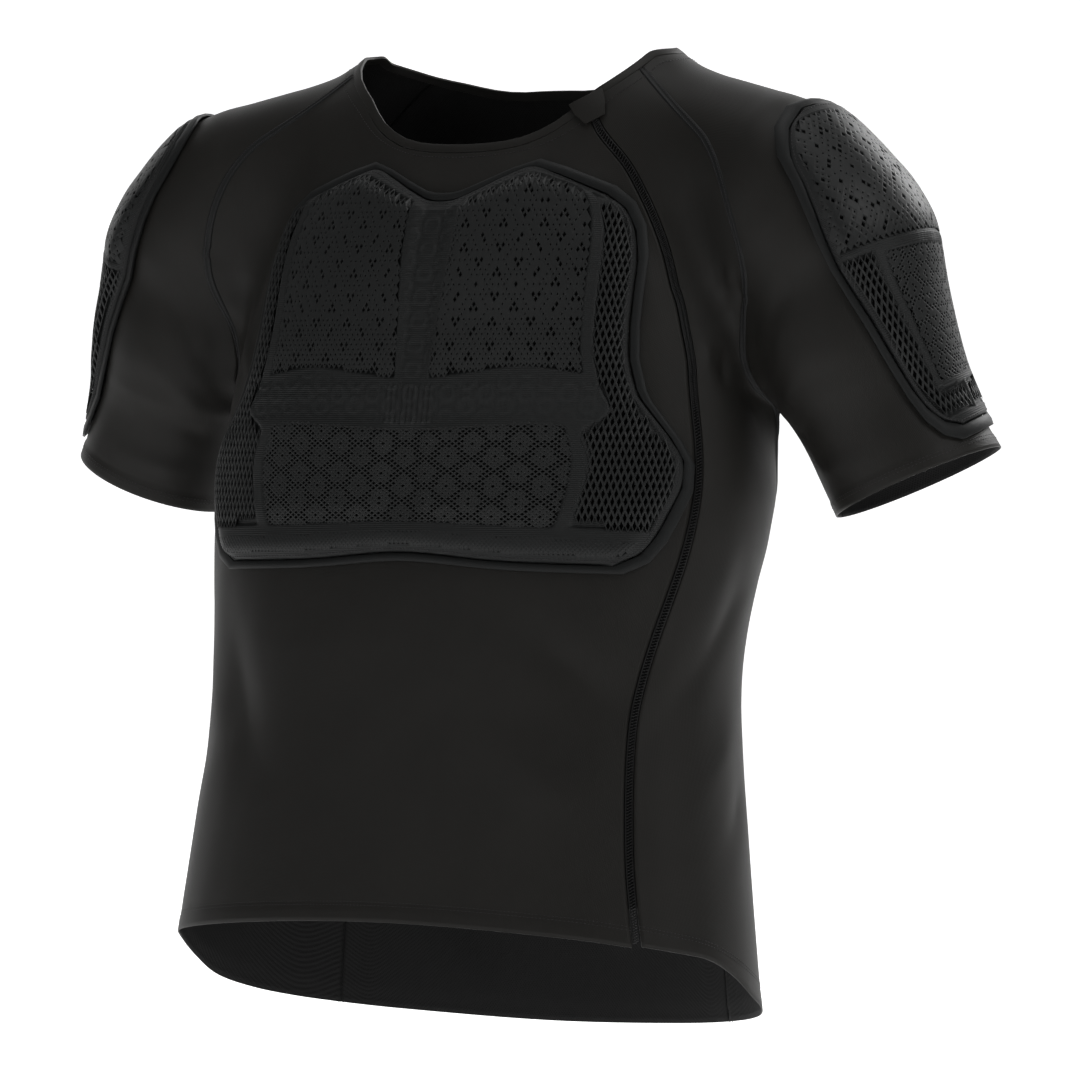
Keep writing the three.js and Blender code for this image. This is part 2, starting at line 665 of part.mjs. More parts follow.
const SEAM_PULL = SEAM_GAP / 2;
const ZIP_PULL = ZIP_WIDTH / 2 + SEAM_GAP;
const NECK_PULL = NECK_BAND + SEAM_GAP;

// The neck band's lower edge follows the pieces that it is sewn to, in order round the neck
const neckEdge = [];
function edgeNeck(edge, next, onward) {
  const last = edge.length - 1;
  const pairs = edge.map((p, j) => {
    const run = edge[Math.min(j + 1, last)].clone().sub(edge[Math.max(j - 1, 0)]).normalize();
    const down = next[j].clone().sub(p);
    down.addScaledVector(run, -down.dot(run)).normalize();
    return [p, p.clone().addScaledVector(down, NECK_BAND)];
  });
  if (!onward) pairs.reverse();
  neckEdge.push(...(neckEdge.length ? pairs.slice(1) : pairs));
}

function hemWall(lastRow) {
  return (i) => (i >= lastRow ? HEM_WALL : CLOTH);
}

function torsoPanel(name, material, spec) {
  const points = [];
  for (let i = 0; i <= LONG_ROWS; i++) points.push(evenRow(spec, i));
  // Along a raglan seam the border is the seam's own points
  for (let i = 0; i <= SHOULDER_DROP_ROWS; i++) {
    const t = i / SHOULDER_DROP_ROWS;
    for (const [column, seam, side] of spec.seams) {
      const p = seam.point(t);
      points[i][column] = p.setX(p.x * side);
    }
  }
  relax(points, spec.relax);
  const pulls = { top: NECK_PULL, bottom: 0, left: spec.leftPull, right: spec.rightPull };
  const pulled = pullIn(points, figure.onTorso, () => false, pulls);
  add(name, wall(pulled, figure.onTorso, 0, hemWall(LONG_ROWS)), material);
  return points;
}

function neckArc(from, to) {
  return (u) => neckPlace(from + (to - from) * u);
}
function hemArc(from, to) {
  return (u) => {
    const angle = from + (to - from) * u;
    return { angle, row: hemRow(angle) };
  };
}

const frontRight = (i) => mirrored(longSeam(raglanFront, i));
const backRight = (i) => {
  const place = mirrored(longSeam(raglanBack, i));
  return { angle: place.angle + 360, row: place.row };
};
const sideAngle = sideSeam(1).angle;

const frontPoints = torsoPanel('front_panel', materials.jersey, {
  columns: FRONT_COLUMNS,
  relax: 1,
  leftPull: SEAM_PULL,
  rightPull: ZIP_PULL,
  seams: [[0, raglanFront, -1]],
  top: neckArc(-NECK_TURN_FRONT, NECK_TURN_ZIP),
  bottom: hemArc(-sideAngle, zipSeam(LONG_ROWS).angle),
  left: frontRight,
  right: zipSeam,
});
const sidePoints = torsoPanel('side_panel_left', materials.jersey, {
  columns: SIDE_COLUMNS,
  relax: 0.1,
  leftPull: ZIP_PULL,
  rightPull: SEAM_PULL,
  seams: [[SIDE_COLUMNS, raglanFront, 1]],
  top: neckArc(NECK_TURN_ZIP, NECK_TURN_FRONT),
  bottom: hemArc(zipSeam(LONG_ROWS).angle, sideAngle),
  left: zipSeam,
  right: (i) => longSeam(raglanFront, i),
});
const backPoints = torsoPanel('back_panel', materials.mesh, {
  columns: BACK_COLUMNS,
  relax: 1,
  leftPull: SEAM_PULL,
  rightPull: SEAM_PULL,
  seams: [[0, raglanBack, 1], [BACK_COLUMNS, raglanBack, -1]],
  top: (u) => {
    const turn = NECK_TURN_BACK + (360 - 2 * NECK_TURN_BACK) * u;
    if (turn <= 180) return neckPlace(turn);
    const place = neckPlace(turn - 360);
    return { angle: place.angle + 360, row: place.row };
  },
  bottom: (u) => {
    const angle = sideAngle + (360 - 2 * sideAngle) * u;
    return { angle, row: hemRow(angle > 180 ? 360 - angle : angle) };
  },
  left: (i) => longSeam(raglanBack, i),
  right: backRight,
});

// A place on a sleeve is a length along its axis and an angle round it: 0 outwards, 90 to the front
function sleeveFrame(s) {
  const at = (k) => new THREE.Vector3(...['x', 'y', 'z'].map((c) => smoothColumn(SLEEVE_AXIS, 's', c, k)));
  const origin = at(s);
  const tangent = at(Math.min(s + AXIS_STEP, SLEEVE_END)).sub(at(Math.max(s - AXIS_STEP, 0))).normalize();
  const front = new THREE.Vector3(0, -1, 0);
  front.addScaledVector(tangent, -front.dot(tangent)).normalize();
  return { origin, front, outward: tangent.clone().cross(front), tangent };
}

function sleevePoint(s, angle) {
  const frame = sleeveFrame(s);
  const a = THREE.MathUtils.degToRad(angle);
  const direction = frame.outward.clone().multiplyScalar(Math.cos(a));
  direction.addScaledVector(frame.front, Math.sin(a));
  return figure.cast(frame.origin, direction, figure.onSleeve);
}

function sleevePlace(point) {
  // The nearest place on the axis, by narrowing steps
  let best = 0;
  let step = PLACE_STEP;
  const gap = (s) => sleeveFrame(s).origin.distanceTo(point);
  for (let s = 0; s <= SLEEVE_END; s += step) if (gap(s) < gap(best)) best = s;
  while (step > PLACE_FINEST) {
    step /= 2;
    for (const s of [best - step, best + step]) {
      if (s >= 0 && s <= SLEEVE_END && gap(s) < gap(best)) best = s;
    }
  }
  const frame = sleeveFrame(best);
  const offset = point.clone().sub(frame.origin);
  const turn = Math.atan2(offset.dot(frame.front), offset.dot(frame.outward));
  return { s: best, angle: THREE.MathUtils.radToDeg(turn) };
}

const underarm = sleevePlace(figure.underarm);
const underarmAngle = underarm.angle < 0 ? underarm.angle + 360 : underarm.angle;

function sleeveEdge(seam, back) {
  return (t) => {
    const place = sleevePlace(seam.point(t));
    const wrapped = back ? (place.angle > 90 ? place.angle - 360 : place.angle)
      : (place.angle < -90 ? place.angle + 360 : place.angle);
    return { s: place.s, angle: wrapped };
  };
}
const sleeveFrontEdge = sleeveEdge(raglanFront, false);
const sleeveBackEdge = sleeveEdge(raglanBack, true);

function sleevePlaces() {
  const grid = [];
  for (let i = 0; i < SLEEVE_ROWS; i++) {
    const line = [];
    for (let j = 0; j <= SLEEVE_COLUMNS; j++) {
      const angle = underarmAngle - 360 * j / SLEEVE_COLUMNS;
      const cuff = CUFF_LOW + CUFF_RISE * (1 + Math.sin(THREE.MathUtils.degToRad(angle))) / 2;
      line.push({ s: THREE.MathUtils.lerp(cuff, underarm.s, i / SLEEVE_ROWS), angle });
    }
    grid.push(line);
  }
  const neckPlaceAt = (u) => {
    const turn = NECK_TURN_FRONT + (NECK_TURN_BACK - NECK_TURN_FRONT) * u;
    return sleevePlace(torsoPoint(neckPlace(turn)));
  };
  for (let i = 0; i <= SHOULDER_DROP_ROWS; i++) {
    const t = 1 - i / SHOULDER_DROP_ROWS;
    const front = i === 0 ? { s: underarm.s, angle: underarmAngle } : sleeveFrontEdge(t);
    const back = i === 0 ? { s: underarm.s, angle: underarmAngle - 360 } : sleeveBackEdge(t);
    const frontTop = sleeveFrontEdge(0);
    const backTop = sleeveBackEdge(0);
    const weight = (1 - t) ** 2;
    const line = [];
    for (let j = 0; j <= SLEEVE_COLUMNS; j++) {
      const u = j / SLEEVE_COLUMNS;
      const neck = neckPlaceAt(u);
      const mix = (key) => (1 - u) * front[key] + u * back[key]
        + weight * (neck[key] - (1 - u) * frontTop[key] - u * backTop[key]);
      line.push({ s: mix('s'), angle: mix('angle') });
    }
    grid.push(line);
  }
  return grid;
}

// The sleeve's borders are the torso's own seam points, and what that moves fades out over the sleeve
function sleevePoints() {
  return sleevePlaces().map((line, i) => {
    const points = line.map((p) => sleevePoint(p.s, p.angle));
    if (i < SLEEVE_ROWS) return points;
    const t = 1 - (i - SLEEVE_ROWS) / SHOULDER_DROP_ROWS;
    const last = points.length - 1;
    const ends = [raglanFront.point(t), raglanBack.point(t)];
    const [front, back] = [ends[0].clone().sub(points[0]), ends[1].clone().sub(points[last])];
    for (const shift of [front, back]) if (shift.length() > EDGE_SHIFT) shift.setScalar(0);
    const moved = points.map((p, j) => p.addScaledVector(front, (1 - j / last) ** EDGE_FADE)
      .addScaledVector(back, (j / last) ** EDGE_FADE));
    moved[0] = ends[0];
    moved[last] = ends[1];
    return moved;
  });
}

const sleeveGrid = sleevePoints();
const inTube = (i) => i <= SLEEVE_ROWS;

for (const [name, sign] of [['sleeve_left', 1], ['sleeve_right', -1]]) {
  const points = sleeveGrid.map((line) => line.map((p) => new THREE.Vector3(p.x * sign, p.y, p.z)));
  const pulls = { top: 0, bottom: NECK_PULL, left: SEAM_PULL, right: SEAM_PULL };
  const pulled = pullIn(points, figure.onSleeve, inTube, pulls);
  // At the underarm point the sleeve draws back along its own tube
  const tip = points[SLEEVE_ROWS][0].clone();
  tip.addScaledVector(points[SLEEVE_ROWS - 1][0].clone().sub(tip).normalize(), UNDERARM_PULL);
  pulled[SLEEVE_ROWS][0] = tip;
  pulled[SLEEVE_ROWS][SLEEVE_COLUMNS] = tip.clone();
  const cuffWall = (i) => (i === 0 ? HEM_WALL : CLOTH);
  add(name, wall(pulled, figure.onSleeve, 0, cuffWall, inTube), materials.jersey);
}

// Neck band: one closed ring round all five pieces that reach the neck
const mirrorPoint = (p) => new THREE.Vector3(-p.x, p.y, p.z);
const sleeveTop = sleeveGrid[sleeveGrid.length - 1];
const sleeveNext = sleeveGrid[sleeveGrid.length - 2];
edgeNeck(frontPoints[0], frontPoints[1], true);
edgeNeck(sidePoints[0], sidePoints[1], true);
edgeNeck(sleeveTop, sleeveNext, true);
edgeNeck(backPoints[0], backPoints[1], true);
edgeNeck(sleeveTop.map(mirrorPoint), sleeveNext.map(mirrorPoint), false);
neckEdge[neckEdge.length - 1] = neckEdge[0];
const bandRows = [0, 0.5, 1].map((k) => neckEdge.map(([edge, low]) => edge.clone().lerp(low, k)));
const bandLift = (i) => (i === 1 ? BAND_PROUD : BAND_PROUD / 2);
const bandGrid = bandRows.map((line) => line.map((p) => settle(p)));
add('neck_band', wall(bandGrid, figure.onTorso, bandLift, HEM_WALL, () => true), materials.jersey);

// A strip of the figure along a line of points, with columns at given distances to its side
function strip(centres, offsets) {
  return centres.map((p, i) => {
    const ahead = centres[Math.min(i + 1, centres.length - 1)];
    const behind = centres[Math.max(i - 1, 0)];
    const side = figure.normal(p, figure.onTorso).cross(ahead.clone().sub(behind).normalize()).normalize();
    return offsets(i).map((d) => settle(p.clone().addScaledVector(side, -d)));
  });
}

// Zip: a chain between the panels, its tape inside and a garage over its top end
const zipLine = [];
for (let i = 0; i <= LONG_ROWS; i++) zipLine.push(torsoPoint(zipSeam(i)));
const alongZip = (down) => {
  const way = zipLine[1].clone().sub(zipLine[0]);
  return zipLine[0].clone().addScaledVector(way.normalize(), down);
};
const chainLine = [alongZip(ZIP_START), ...zipLine.slice(1, -1)];
const lastStep = zipLine[LONG_ROWS].clone().sub(zipLine[LONG_ROWS - 1]);
chainLine.push(zipLine[LONG_ROWS].clone().addScaledVector(lastStep.normalize(), -ZIP_END));
const across = (half) => () => [-half, 0, half];
const onPanel = (grid, out, thickness) => wall(grid, figure.onTorso, out, thickness);
add('zip_chain', onPanel(strip(chainLine, across(ZIP_WIDTH / 2)), ZIP_PROUD, ZIP_WALL), materials.zip);
const tapeLift = -CLOTH - LAID_UNDER;
const tapeLine = chainLine.slice(0, -1);
add('zip_tape', onPanel(strip(tapeLine, across(TAPE_WIDTH / 2)), tapeLift, TAPE_WALL), materials.tape);
const garageLine = GARAGE.map((r) => alongZip(r.down));
const garageRows = strip(garageLine, (i) => [-GARAGE[i].half, 0, GARAGE[i].half]);
const garageLift = BAND_PROUD + LAID_UNDER + GARAGE_WALL;
add('zip_garage', onPanel(garageRows, garageLift, GARAGE_WALL), materials.jersey);

// A place on the front of the torso, from its width and height
function frontPoint(x, z) {
  const origin = new THREE.Vector3(x, figure.torsoAt(z).middle, z);
  return figure.cast(origin, new THREE.Vector3(0, -1, 0), figure.onTorso);
}

function chestPoint(u, v, inset) {
  const half = smoothColumn(CHEST_SIDE, 'v', 'half', v) - inset;
  const top = smoothColumn(CHEST_TOP_EDGE, 'u', 'z', Math.abs(u)) - inset;
  const bottom = smoothColumn(CHEST_BOTTOM_EDGE, 'u', 'z', Math.abs(u)) + inset;
  return frontPoint(u * half, top + (bottom - top) * v);
}

// The inset of a shoulder pad is turned into an angle round the sleeve and a step along its axis
function shoulderPoint(u, s, inset) {
  const first = SHOULDER_SIDE[SHOULDER_SIDE.length - 1].s;
  const last = SHOULDER_SIDE[0].s;
  const share = (s - first) / (last - first);
  const along = s + inset / AXIS_SCALE * (1 - 2 * share);
  const half = smoothColumn(SHOULDER_SIDE, 's', 'half', s) - THREE.MathUtils.radToDeg(inset / SLEEVE_REACH);
  return sleevePoint(along, u * half);
}

// Whole lists of columns from the half that is given
const bothHalves = (half) => [...half, ...half.slice(0, -1).reverse().map((u) => -u)];

// The rim of a grid as one closed line, its first point repeated at the end
function rim(columns, rows, point) {
  const top = columns.map((u) => point(u, rows[0]));
  const right = rows.slice(1).map((v) => point(columns[columns.length - 1], v));
  const bottom = columns.slice(0, -1).reverse().map((u) => point(u, rows[rows.length - 1]));
  const left = rows.slice(0, -1).reverse().map((v) => point(columns[0], v));
  return [...top, ...right, ...bottom, ...left];
}

// A pad is a grid of points over its piece, thick in its fields, thin at its rim and in its channels
function pad(name, columns, rows, point, on, thickness) {
  const grid = rows.map((v) => columns.map((u) => point(u, v, BINDING_WIDTH + SEAM_GAP)));
  const deep = rows.map((v) => columns.map((u) => thickness(u, v)));
  add(name, wall(grid, on, (i, j) => LAID_ON + deep[i][j], (i, j) => deep[i][j]), materials.pad);
}

function binding(name, columns, rows, point, on) {
  const insets = [0, BINDING_WIDTH / 2, BINDING_WIDTH];
  const lines = insets.map((inset) => rim(columns, rows, (u, v) => point(u, v, inset)));
  const lift = (i) => LAID_ON + (i === 1 ? BINDING_WALL : BINDING_WALL - BINDING_ROUND);
  const deep = (i) => lift(i) - LAID_ON;
  add(name, wall(lines, on, lift, deep, () => true), materials.binding);
}

const chestColumns = bothHalves(CHEST_COLUMNS);
const atRim = (u, v) => Math.abs(u) === 1 || v === 0 || v === 1;
function chestThickness(u, v) {
  if (atRim(u, v)) return PAD_RIM;
  const inColumn = Math.abs(u) < CHEST_COLUMN;
  const inBand = v > CHEST_BAND.from && v < CHEST_BAND.to;
  return CHEST_PAD - (inColumn || inBand || v > CHEST_LOW_EDGE ? CHANNEL : 0);
}
pad('chest_pad', chestColumns, CHEST_ROWS, chestPoint, figure.onTorso, chestThickness);
binding('chest_pad_binding', chestColumns, CHEST_ROWS, chestPoint, figure.onTorso);

const shoulderColumns = bothHalves(SHOULDER_COLUMNS);
const shoulderEnd = SHOULDER_ROWS[SHOULDER_ROWS.length - 1];
function shoulderThickness(u, s) {
  if (Math.abs(u) === 1 || s === SHOULDER_ROWS[0] || s === shoulderEnd) return PAD_RIM;
  return smoothColumn(SHOULDER_FOAM, 's', 'thick', s);
}
for (const [side, sign] of [['left', 1], ['right', -1]]) {
  const place = (u, s, inset) => {
    const p = shoulderPoint(u, s, inset);
    return new THREE.Vector3(p.x * sign, p.y, p.z);
  };
  pad(`shoulder_pad_${side}`, shoulderColumns, SHOULDER_ROWS, place, figure.onSleeve, shoulderThickness);
  binding(`shoulder_pad_binding_${side}`, shoulderColumns, SHOULDER_ROWS, place, figure.onSleeve);
}

export default shirt;
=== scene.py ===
"""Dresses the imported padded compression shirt: knitted panels, pads with open nets, seams, zip and stage.

Lengths are in metres unless a name says millimetres. The origin lies between the wearer's shoulders,
+X is the wearer's left, -Y the front and +Z up.
"""
import json
import math

import bmesh
import bpy
import numpy as np
from mathutils import Matrix, Vector
from mathutils.bvhtree import BVHTree

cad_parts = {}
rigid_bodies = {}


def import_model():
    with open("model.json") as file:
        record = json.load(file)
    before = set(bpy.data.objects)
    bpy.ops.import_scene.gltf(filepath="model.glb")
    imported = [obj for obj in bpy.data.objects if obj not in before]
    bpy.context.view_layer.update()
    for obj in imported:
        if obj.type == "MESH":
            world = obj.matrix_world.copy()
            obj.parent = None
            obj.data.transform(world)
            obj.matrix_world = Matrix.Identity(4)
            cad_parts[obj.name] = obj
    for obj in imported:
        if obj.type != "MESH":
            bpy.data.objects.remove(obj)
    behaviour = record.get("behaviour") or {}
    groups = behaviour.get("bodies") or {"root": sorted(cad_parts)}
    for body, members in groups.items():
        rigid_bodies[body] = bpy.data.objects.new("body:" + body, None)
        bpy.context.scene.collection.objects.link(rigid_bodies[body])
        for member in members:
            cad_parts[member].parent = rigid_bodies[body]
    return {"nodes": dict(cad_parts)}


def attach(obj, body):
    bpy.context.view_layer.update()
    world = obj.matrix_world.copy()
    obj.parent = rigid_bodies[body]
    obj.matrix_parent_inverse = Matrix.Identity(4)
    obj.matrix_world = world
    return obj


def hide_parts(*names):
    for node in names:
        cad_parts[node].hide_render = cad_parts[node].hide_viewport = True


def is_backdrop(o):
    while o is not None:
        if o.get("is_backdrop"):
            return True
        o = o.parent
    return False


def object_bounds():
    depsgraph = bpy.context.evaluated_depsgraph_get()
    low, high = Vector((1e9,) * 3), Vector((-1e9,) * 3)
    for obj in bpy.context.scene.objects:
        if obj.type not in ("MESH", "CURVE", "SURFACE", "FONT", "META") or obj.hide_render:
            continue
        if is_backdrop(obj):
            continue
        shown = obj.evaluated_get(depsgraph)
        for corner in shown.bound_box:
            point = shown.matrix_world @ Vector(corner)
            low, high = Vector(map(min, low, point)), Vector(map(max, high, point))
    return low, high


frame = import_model()
CAD_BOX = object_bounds()

bl_info = {
    "name": "Padded compression shirt",
    "version": (1, 0, 0),
    "blender": (4, 5, 0),
    "location": "3D View > Sidebar > Shirt",
    "description": "Makes the cloth, pads, seams and zip of a worn padded shirt",
    "category": "Object",
}

MM = 0.001


# ---------------------------------------------------------------- sizes and colours

def linear(code):
    """An sRGB hex colour as linear red, green, blue and alpha"""
    parts = [int(code[k:k + 2], 16) / 255 for k in (0, 2, 4)]
    return tuple(c / 12.92 if c <= 0.04045 else ((c + 0.055) / 1.055) ** 2.4 for c in parts) + (1.0,)


def length(name, description, millimetres):
    """A length that a user may change"""
    return bpy.props.FloatProperty(name=name, description=description, default=millimetres * MM,
                                   min=0, unit="LENGTH", subtype="DISTANCE", precision=5)


def colour(name, description, code):
    """A colour that a user may change"""
    return bpy.props.FloatVectorProperty(name=name, description=description, default=linear(code),
                                         size=4, min=0, max=1, subtype="COLOR")


class ShirtSizes(bpy.types.PropertyGroup):
    """Sizes of the cloth, nets, seams and zip"""
    cloth: length("Cloth", "Thickness of the knitted panels", 0.9)
    hem: length("Hem depth", "Depth of the turned hem and cuffs", 10)
    seam_width: length("Seam width", "Width of the flat seam over two joined panels", 5.4)
    stitch: length("Stitch", "Length of one stitch", 2.6)
    thread: length("Thread", "Thickness of the sewing thread", 0.5)
    tooth: length("Coil pitch", "Distance between two turns of the zip's coil", 1.6)
    net_depth: length("Net depth", "Depth of the holes in the pads' nets", 1.5)


class ShirtColours(bpy.types.PropertyGroup):
    """Colours of the shirt's cloth and trim"""
    jersey: colour("Jersey", "Warm charcoal of the smooth panels", "1b1a18")
    mesh: colour("Mesh", "Black of the back panel and the lining", "171717")
    pad: colour("Pad knit", "Cool black of the pads' knitted cover", "1b1c1c")
    # the foam at the bottoms of the nets' holes, painted near-black as the shadow in them
    hole: colour("Pad hole shadow", "Foam seen through the pads' nets", "030303")
    binding: colour("Binding", "Bound edges of the pads", "161717")
    thread: colour("Thread", "Flat seams and stitches", "2b292b")
    zip: colour("Zip", "Coil of the zip", "0d0d0d")
    floor: colour("Floor", "Studio floor and backdrop", "f4f4f4")


def sizes():
    return bpy.context.scene.shirt_sizes


def colours():
    return bpy.context.scene.shirt_colours


# ---------------------------------------------------------------- smooth sheets through the solids

# Columns and rows of quads on each solid's outer skin
SKINS = {
    "front_panel": (18, 28),
    "side_panel_left": (8, 28),
    "back_panel": (16, 28),
    "sleeve_left": (26, 20),
    "sleeve_right": (26, 20),
    "chest_pad": (18, 16),
    "shoulder_pad_left": (10, 13),
    "shoulder_pad_right": (10, 13),
    "zip_chain": (2, 28),
    "zip_tape": (2, 27),
}
PADS = ("chest_pad", "shoulder_pad_left", "shoulder_pad_right")
SMOOTH = 60               # degrees: no skin bends more between two of its quads
RIM = 0.004               # share of a pad's width that the lifted points keep off its rim
PAD_REACH = 40 * MM       # more than a pad's thickness
WELD = 1e-6               # vertices closer than this are one
SHARP = (60, 48, 40, 32, 28, 24, 20, 16)  # degrees: a bend sharper than this parts a skin from its rim


def welded(name):
    """A copy of a solid as a bmesh, its loose triangles joined"""
    bm = bmesh.new()
    bm.from_mesh(frame["nodes"][name].data)
    bmesh.ops.remove_doubles(bm, verts=bm.verts, dist=WELD)
    bm.normal_update()
    return bm


def regions(bm, sharp):
    """The faces of a solid in groups, parted by its sharp edges, the largest group first"""
    limit = math.radians(sharp)
    groups = []
    seen = set()
    for start in bm.faces:
        if start in seen:
            continue
        group = []
        waiting = [start]
        seen.add(start)
        while waiting:
            face = waiting.pop()
            group.append(face)
            for edge in face.edges:
                if len(edge.link_faces) != 2 or edge.calc_face_angle(math.pi) > limit:
                    continue
                for other in edge.link_faces:
                    if other not in seen:
                        seen.add(other)
                        waiting.append(other)
        groups.append(group)
    return sorted(groups, key=lambda faces: -sum(f.calc_area() for f in faces))


class Skin:
    """The faces of one skin, and steps from edge to edge over them"""

    def __init__(self, faces):
        self.faces = set(faces)
        self.count = {}
        self.border = {}
        for face in faces:
            for vert in face.verts:
                self.count[vert] = self.count.get(vert, 0) + 1
            for edge in face.edges:
                if sum(f in self.faces for f in edge.link_faces) == 1:
                    for vert in edge.verts:
                        self.border.setdefault(vert, []).append(edge.other_vert(vert))

    @staticmethod
    def joint(a, b):
        """The edge from a to b"""
        return next((e for e in a.link_edges if e.other_vert(a) is b), None)

    def border_line(self, corner, first, steps):
        """A line of border points from one corner to the next, or nothing"""
        line = [corner, first]
        while len(line) <= steps:
            onward = [v for v in self.border[line[-1]] if v is not line[-2]]
            if len(onward) != 1:
                return None
            line.append(onward[0])
        return line if self.count[line[-1]] == 2 else None

    def grid(self, line, rows):
        """Rows of points beside a border line, or nothing"""
        used = {f for a, b in zip(line, line[1:]) for f in self.joint(a, b).link_faces if f not in self.faces}

        def beyond(a, b):
            edge = self.joint(a, b)
            for face in edge.link_faces if edge else ():
                if face not in used:
                    used.add(face)
                    return next(v for v in face.verts if v is not a and v is not b)
            return None

        grid = [line]
        for _ in range(rows):
            low = grid[-1]
            above = []
            far = None
            for a, b in zip(low, low[1:]):
                near = beyond(a, b)
                far = beyond(near, b) if near else None
                if far is None:
                    return None
                above.append(near)
            grid.append(above + [far])
        return grid


def grids(bm, columns, rows):
    """Every grid of points that a solid's skins give, with the steps of its first line and its outward side"""
    for sharp in SHARP:
        for region in regions(bm, sharp)[:2]:
            skin = Skin(region)
            for corner in [v for v, n in skin.count.items() if n == 1 and v in skin.border]:
                for first in skin.border[corner]:
                    for steps, climbs in ((columns, rows), (rows, columns)):
                        line = skin.border_line(corner, first, steps)
                        grid = skin.grid(line, climbs) if line else None
                        if grid:
                            face = next(f for f in skin.joint(line[0], line[1]).link_faces if f in skin.faces)
                            yield np.array([[v.co for v in row] for row in grid], float), steps, np.array(face.normal)


def grid_area(points):
    one = np.cross(points[1:, :-1] - points[:-1, :-1], points[:-1, 1:] - points[:-1, :-1])
    two = np.cross(points[1:, :-1] - points[1:, 1:], points[:-1, 1:] - points[1:, 1:])
    return (np.linalg.norm(one, axis=2).sum() + np.linalg.norm(two, axis=2).sum()) / 2


def worst_bend(points):
    """The sharpest bend between two neighbouring quads, in degrees"""
    normals = np.cross(points[1:, :-1] - points[:-1, 1:], points[:-1, :-1] - points[1:, 1:])
    normals /= np.maximum(np.linalg.norm(normals, axis=2, keepdims=True), 1e-12)
    down = (normals[1:] * normals[:-1]).sum(2).min()
    across = (normals[:, 1:] * normals[:, :-1]).sum(2).min()
    return math.degrees(math.acos(max(-1, min(down, across))))


def skin_grid(name):
    """A skin's points as rows and columns: the highest row first, and rows down cross columns outwards.

    A pad's inner skin is the smooth one, so its points are lifted onto the outer skin.
    """
    columns, rows = SKINS[name]
    bm = welded(name)
    found = [one for one in grids(bm, columns, rows) if worst_bend(one[0]) < SMOOTH]
    if not found:
        raise RuntimeError(f"{name}: its outer skin isn't a grid of {columns} by {rows}")
    points, steps, outward = max(found, key=lambda one: grid_area(one[0]))
    turn = np.cross(points[1, 0] - points[0, 0], points[0, 1] - points[0, 0]) @ outward
    if name in PADS:
        turn = -turn
    if steps != columns:
        points = points.transpose(1, 0, 2)
        turn = -turn
    if points[0, :, 2].mean() < points[-1, :, 2].mean():
        points = points[::-1, ::-1]
    if turn < 0:
        points = points[:, ::-1]
    if name in PADS:
        points = lifted(bm, points)
    bm.free()
    return points


def lifted(bm, points):
    """The points of a pad's inner skin moved straight out onto its outer skin"""
    tree = BVHTree.FromBMesh(bm)
    sheet = Sheet(points)
    v, u = np.meshgrid(np.linspace(RIM, 1 - RIM, sheet.rows + 1), np.linspace(RIM, 1 - RIM, sheet.columns + 1),
                       indexing="ij")
    base, out = sheet.at(u, v), sheet.normal(u, v)
    high = base.copy()
    for index in np.ndindex(u.shape):
        start = Vector(base[index] + out[index] * PAD_REACH)
        hit = tree.ray_cast(start, Vector(-out[index]), PAD_REACH * 1.5)[0]
        if hit is None:
            raise RuntimeError("A pad's outer skin doesn't lie over its inner one")
        high[index] = hit
    return high


def catmull_weights(t):
    """Weights of four neighbours at a share t between the middle two"""
    return (-0.5 * t ** 3 + t ** 2 - 0.5 * t, 1.5 * t ** 3 - 2.5 * t ** 2 + 1,
            -1.5 * t ** 3 + 2 * t ** 2 + 0.5 * t, 0.5 * t ** 3 - 0.5 * t ** 2)


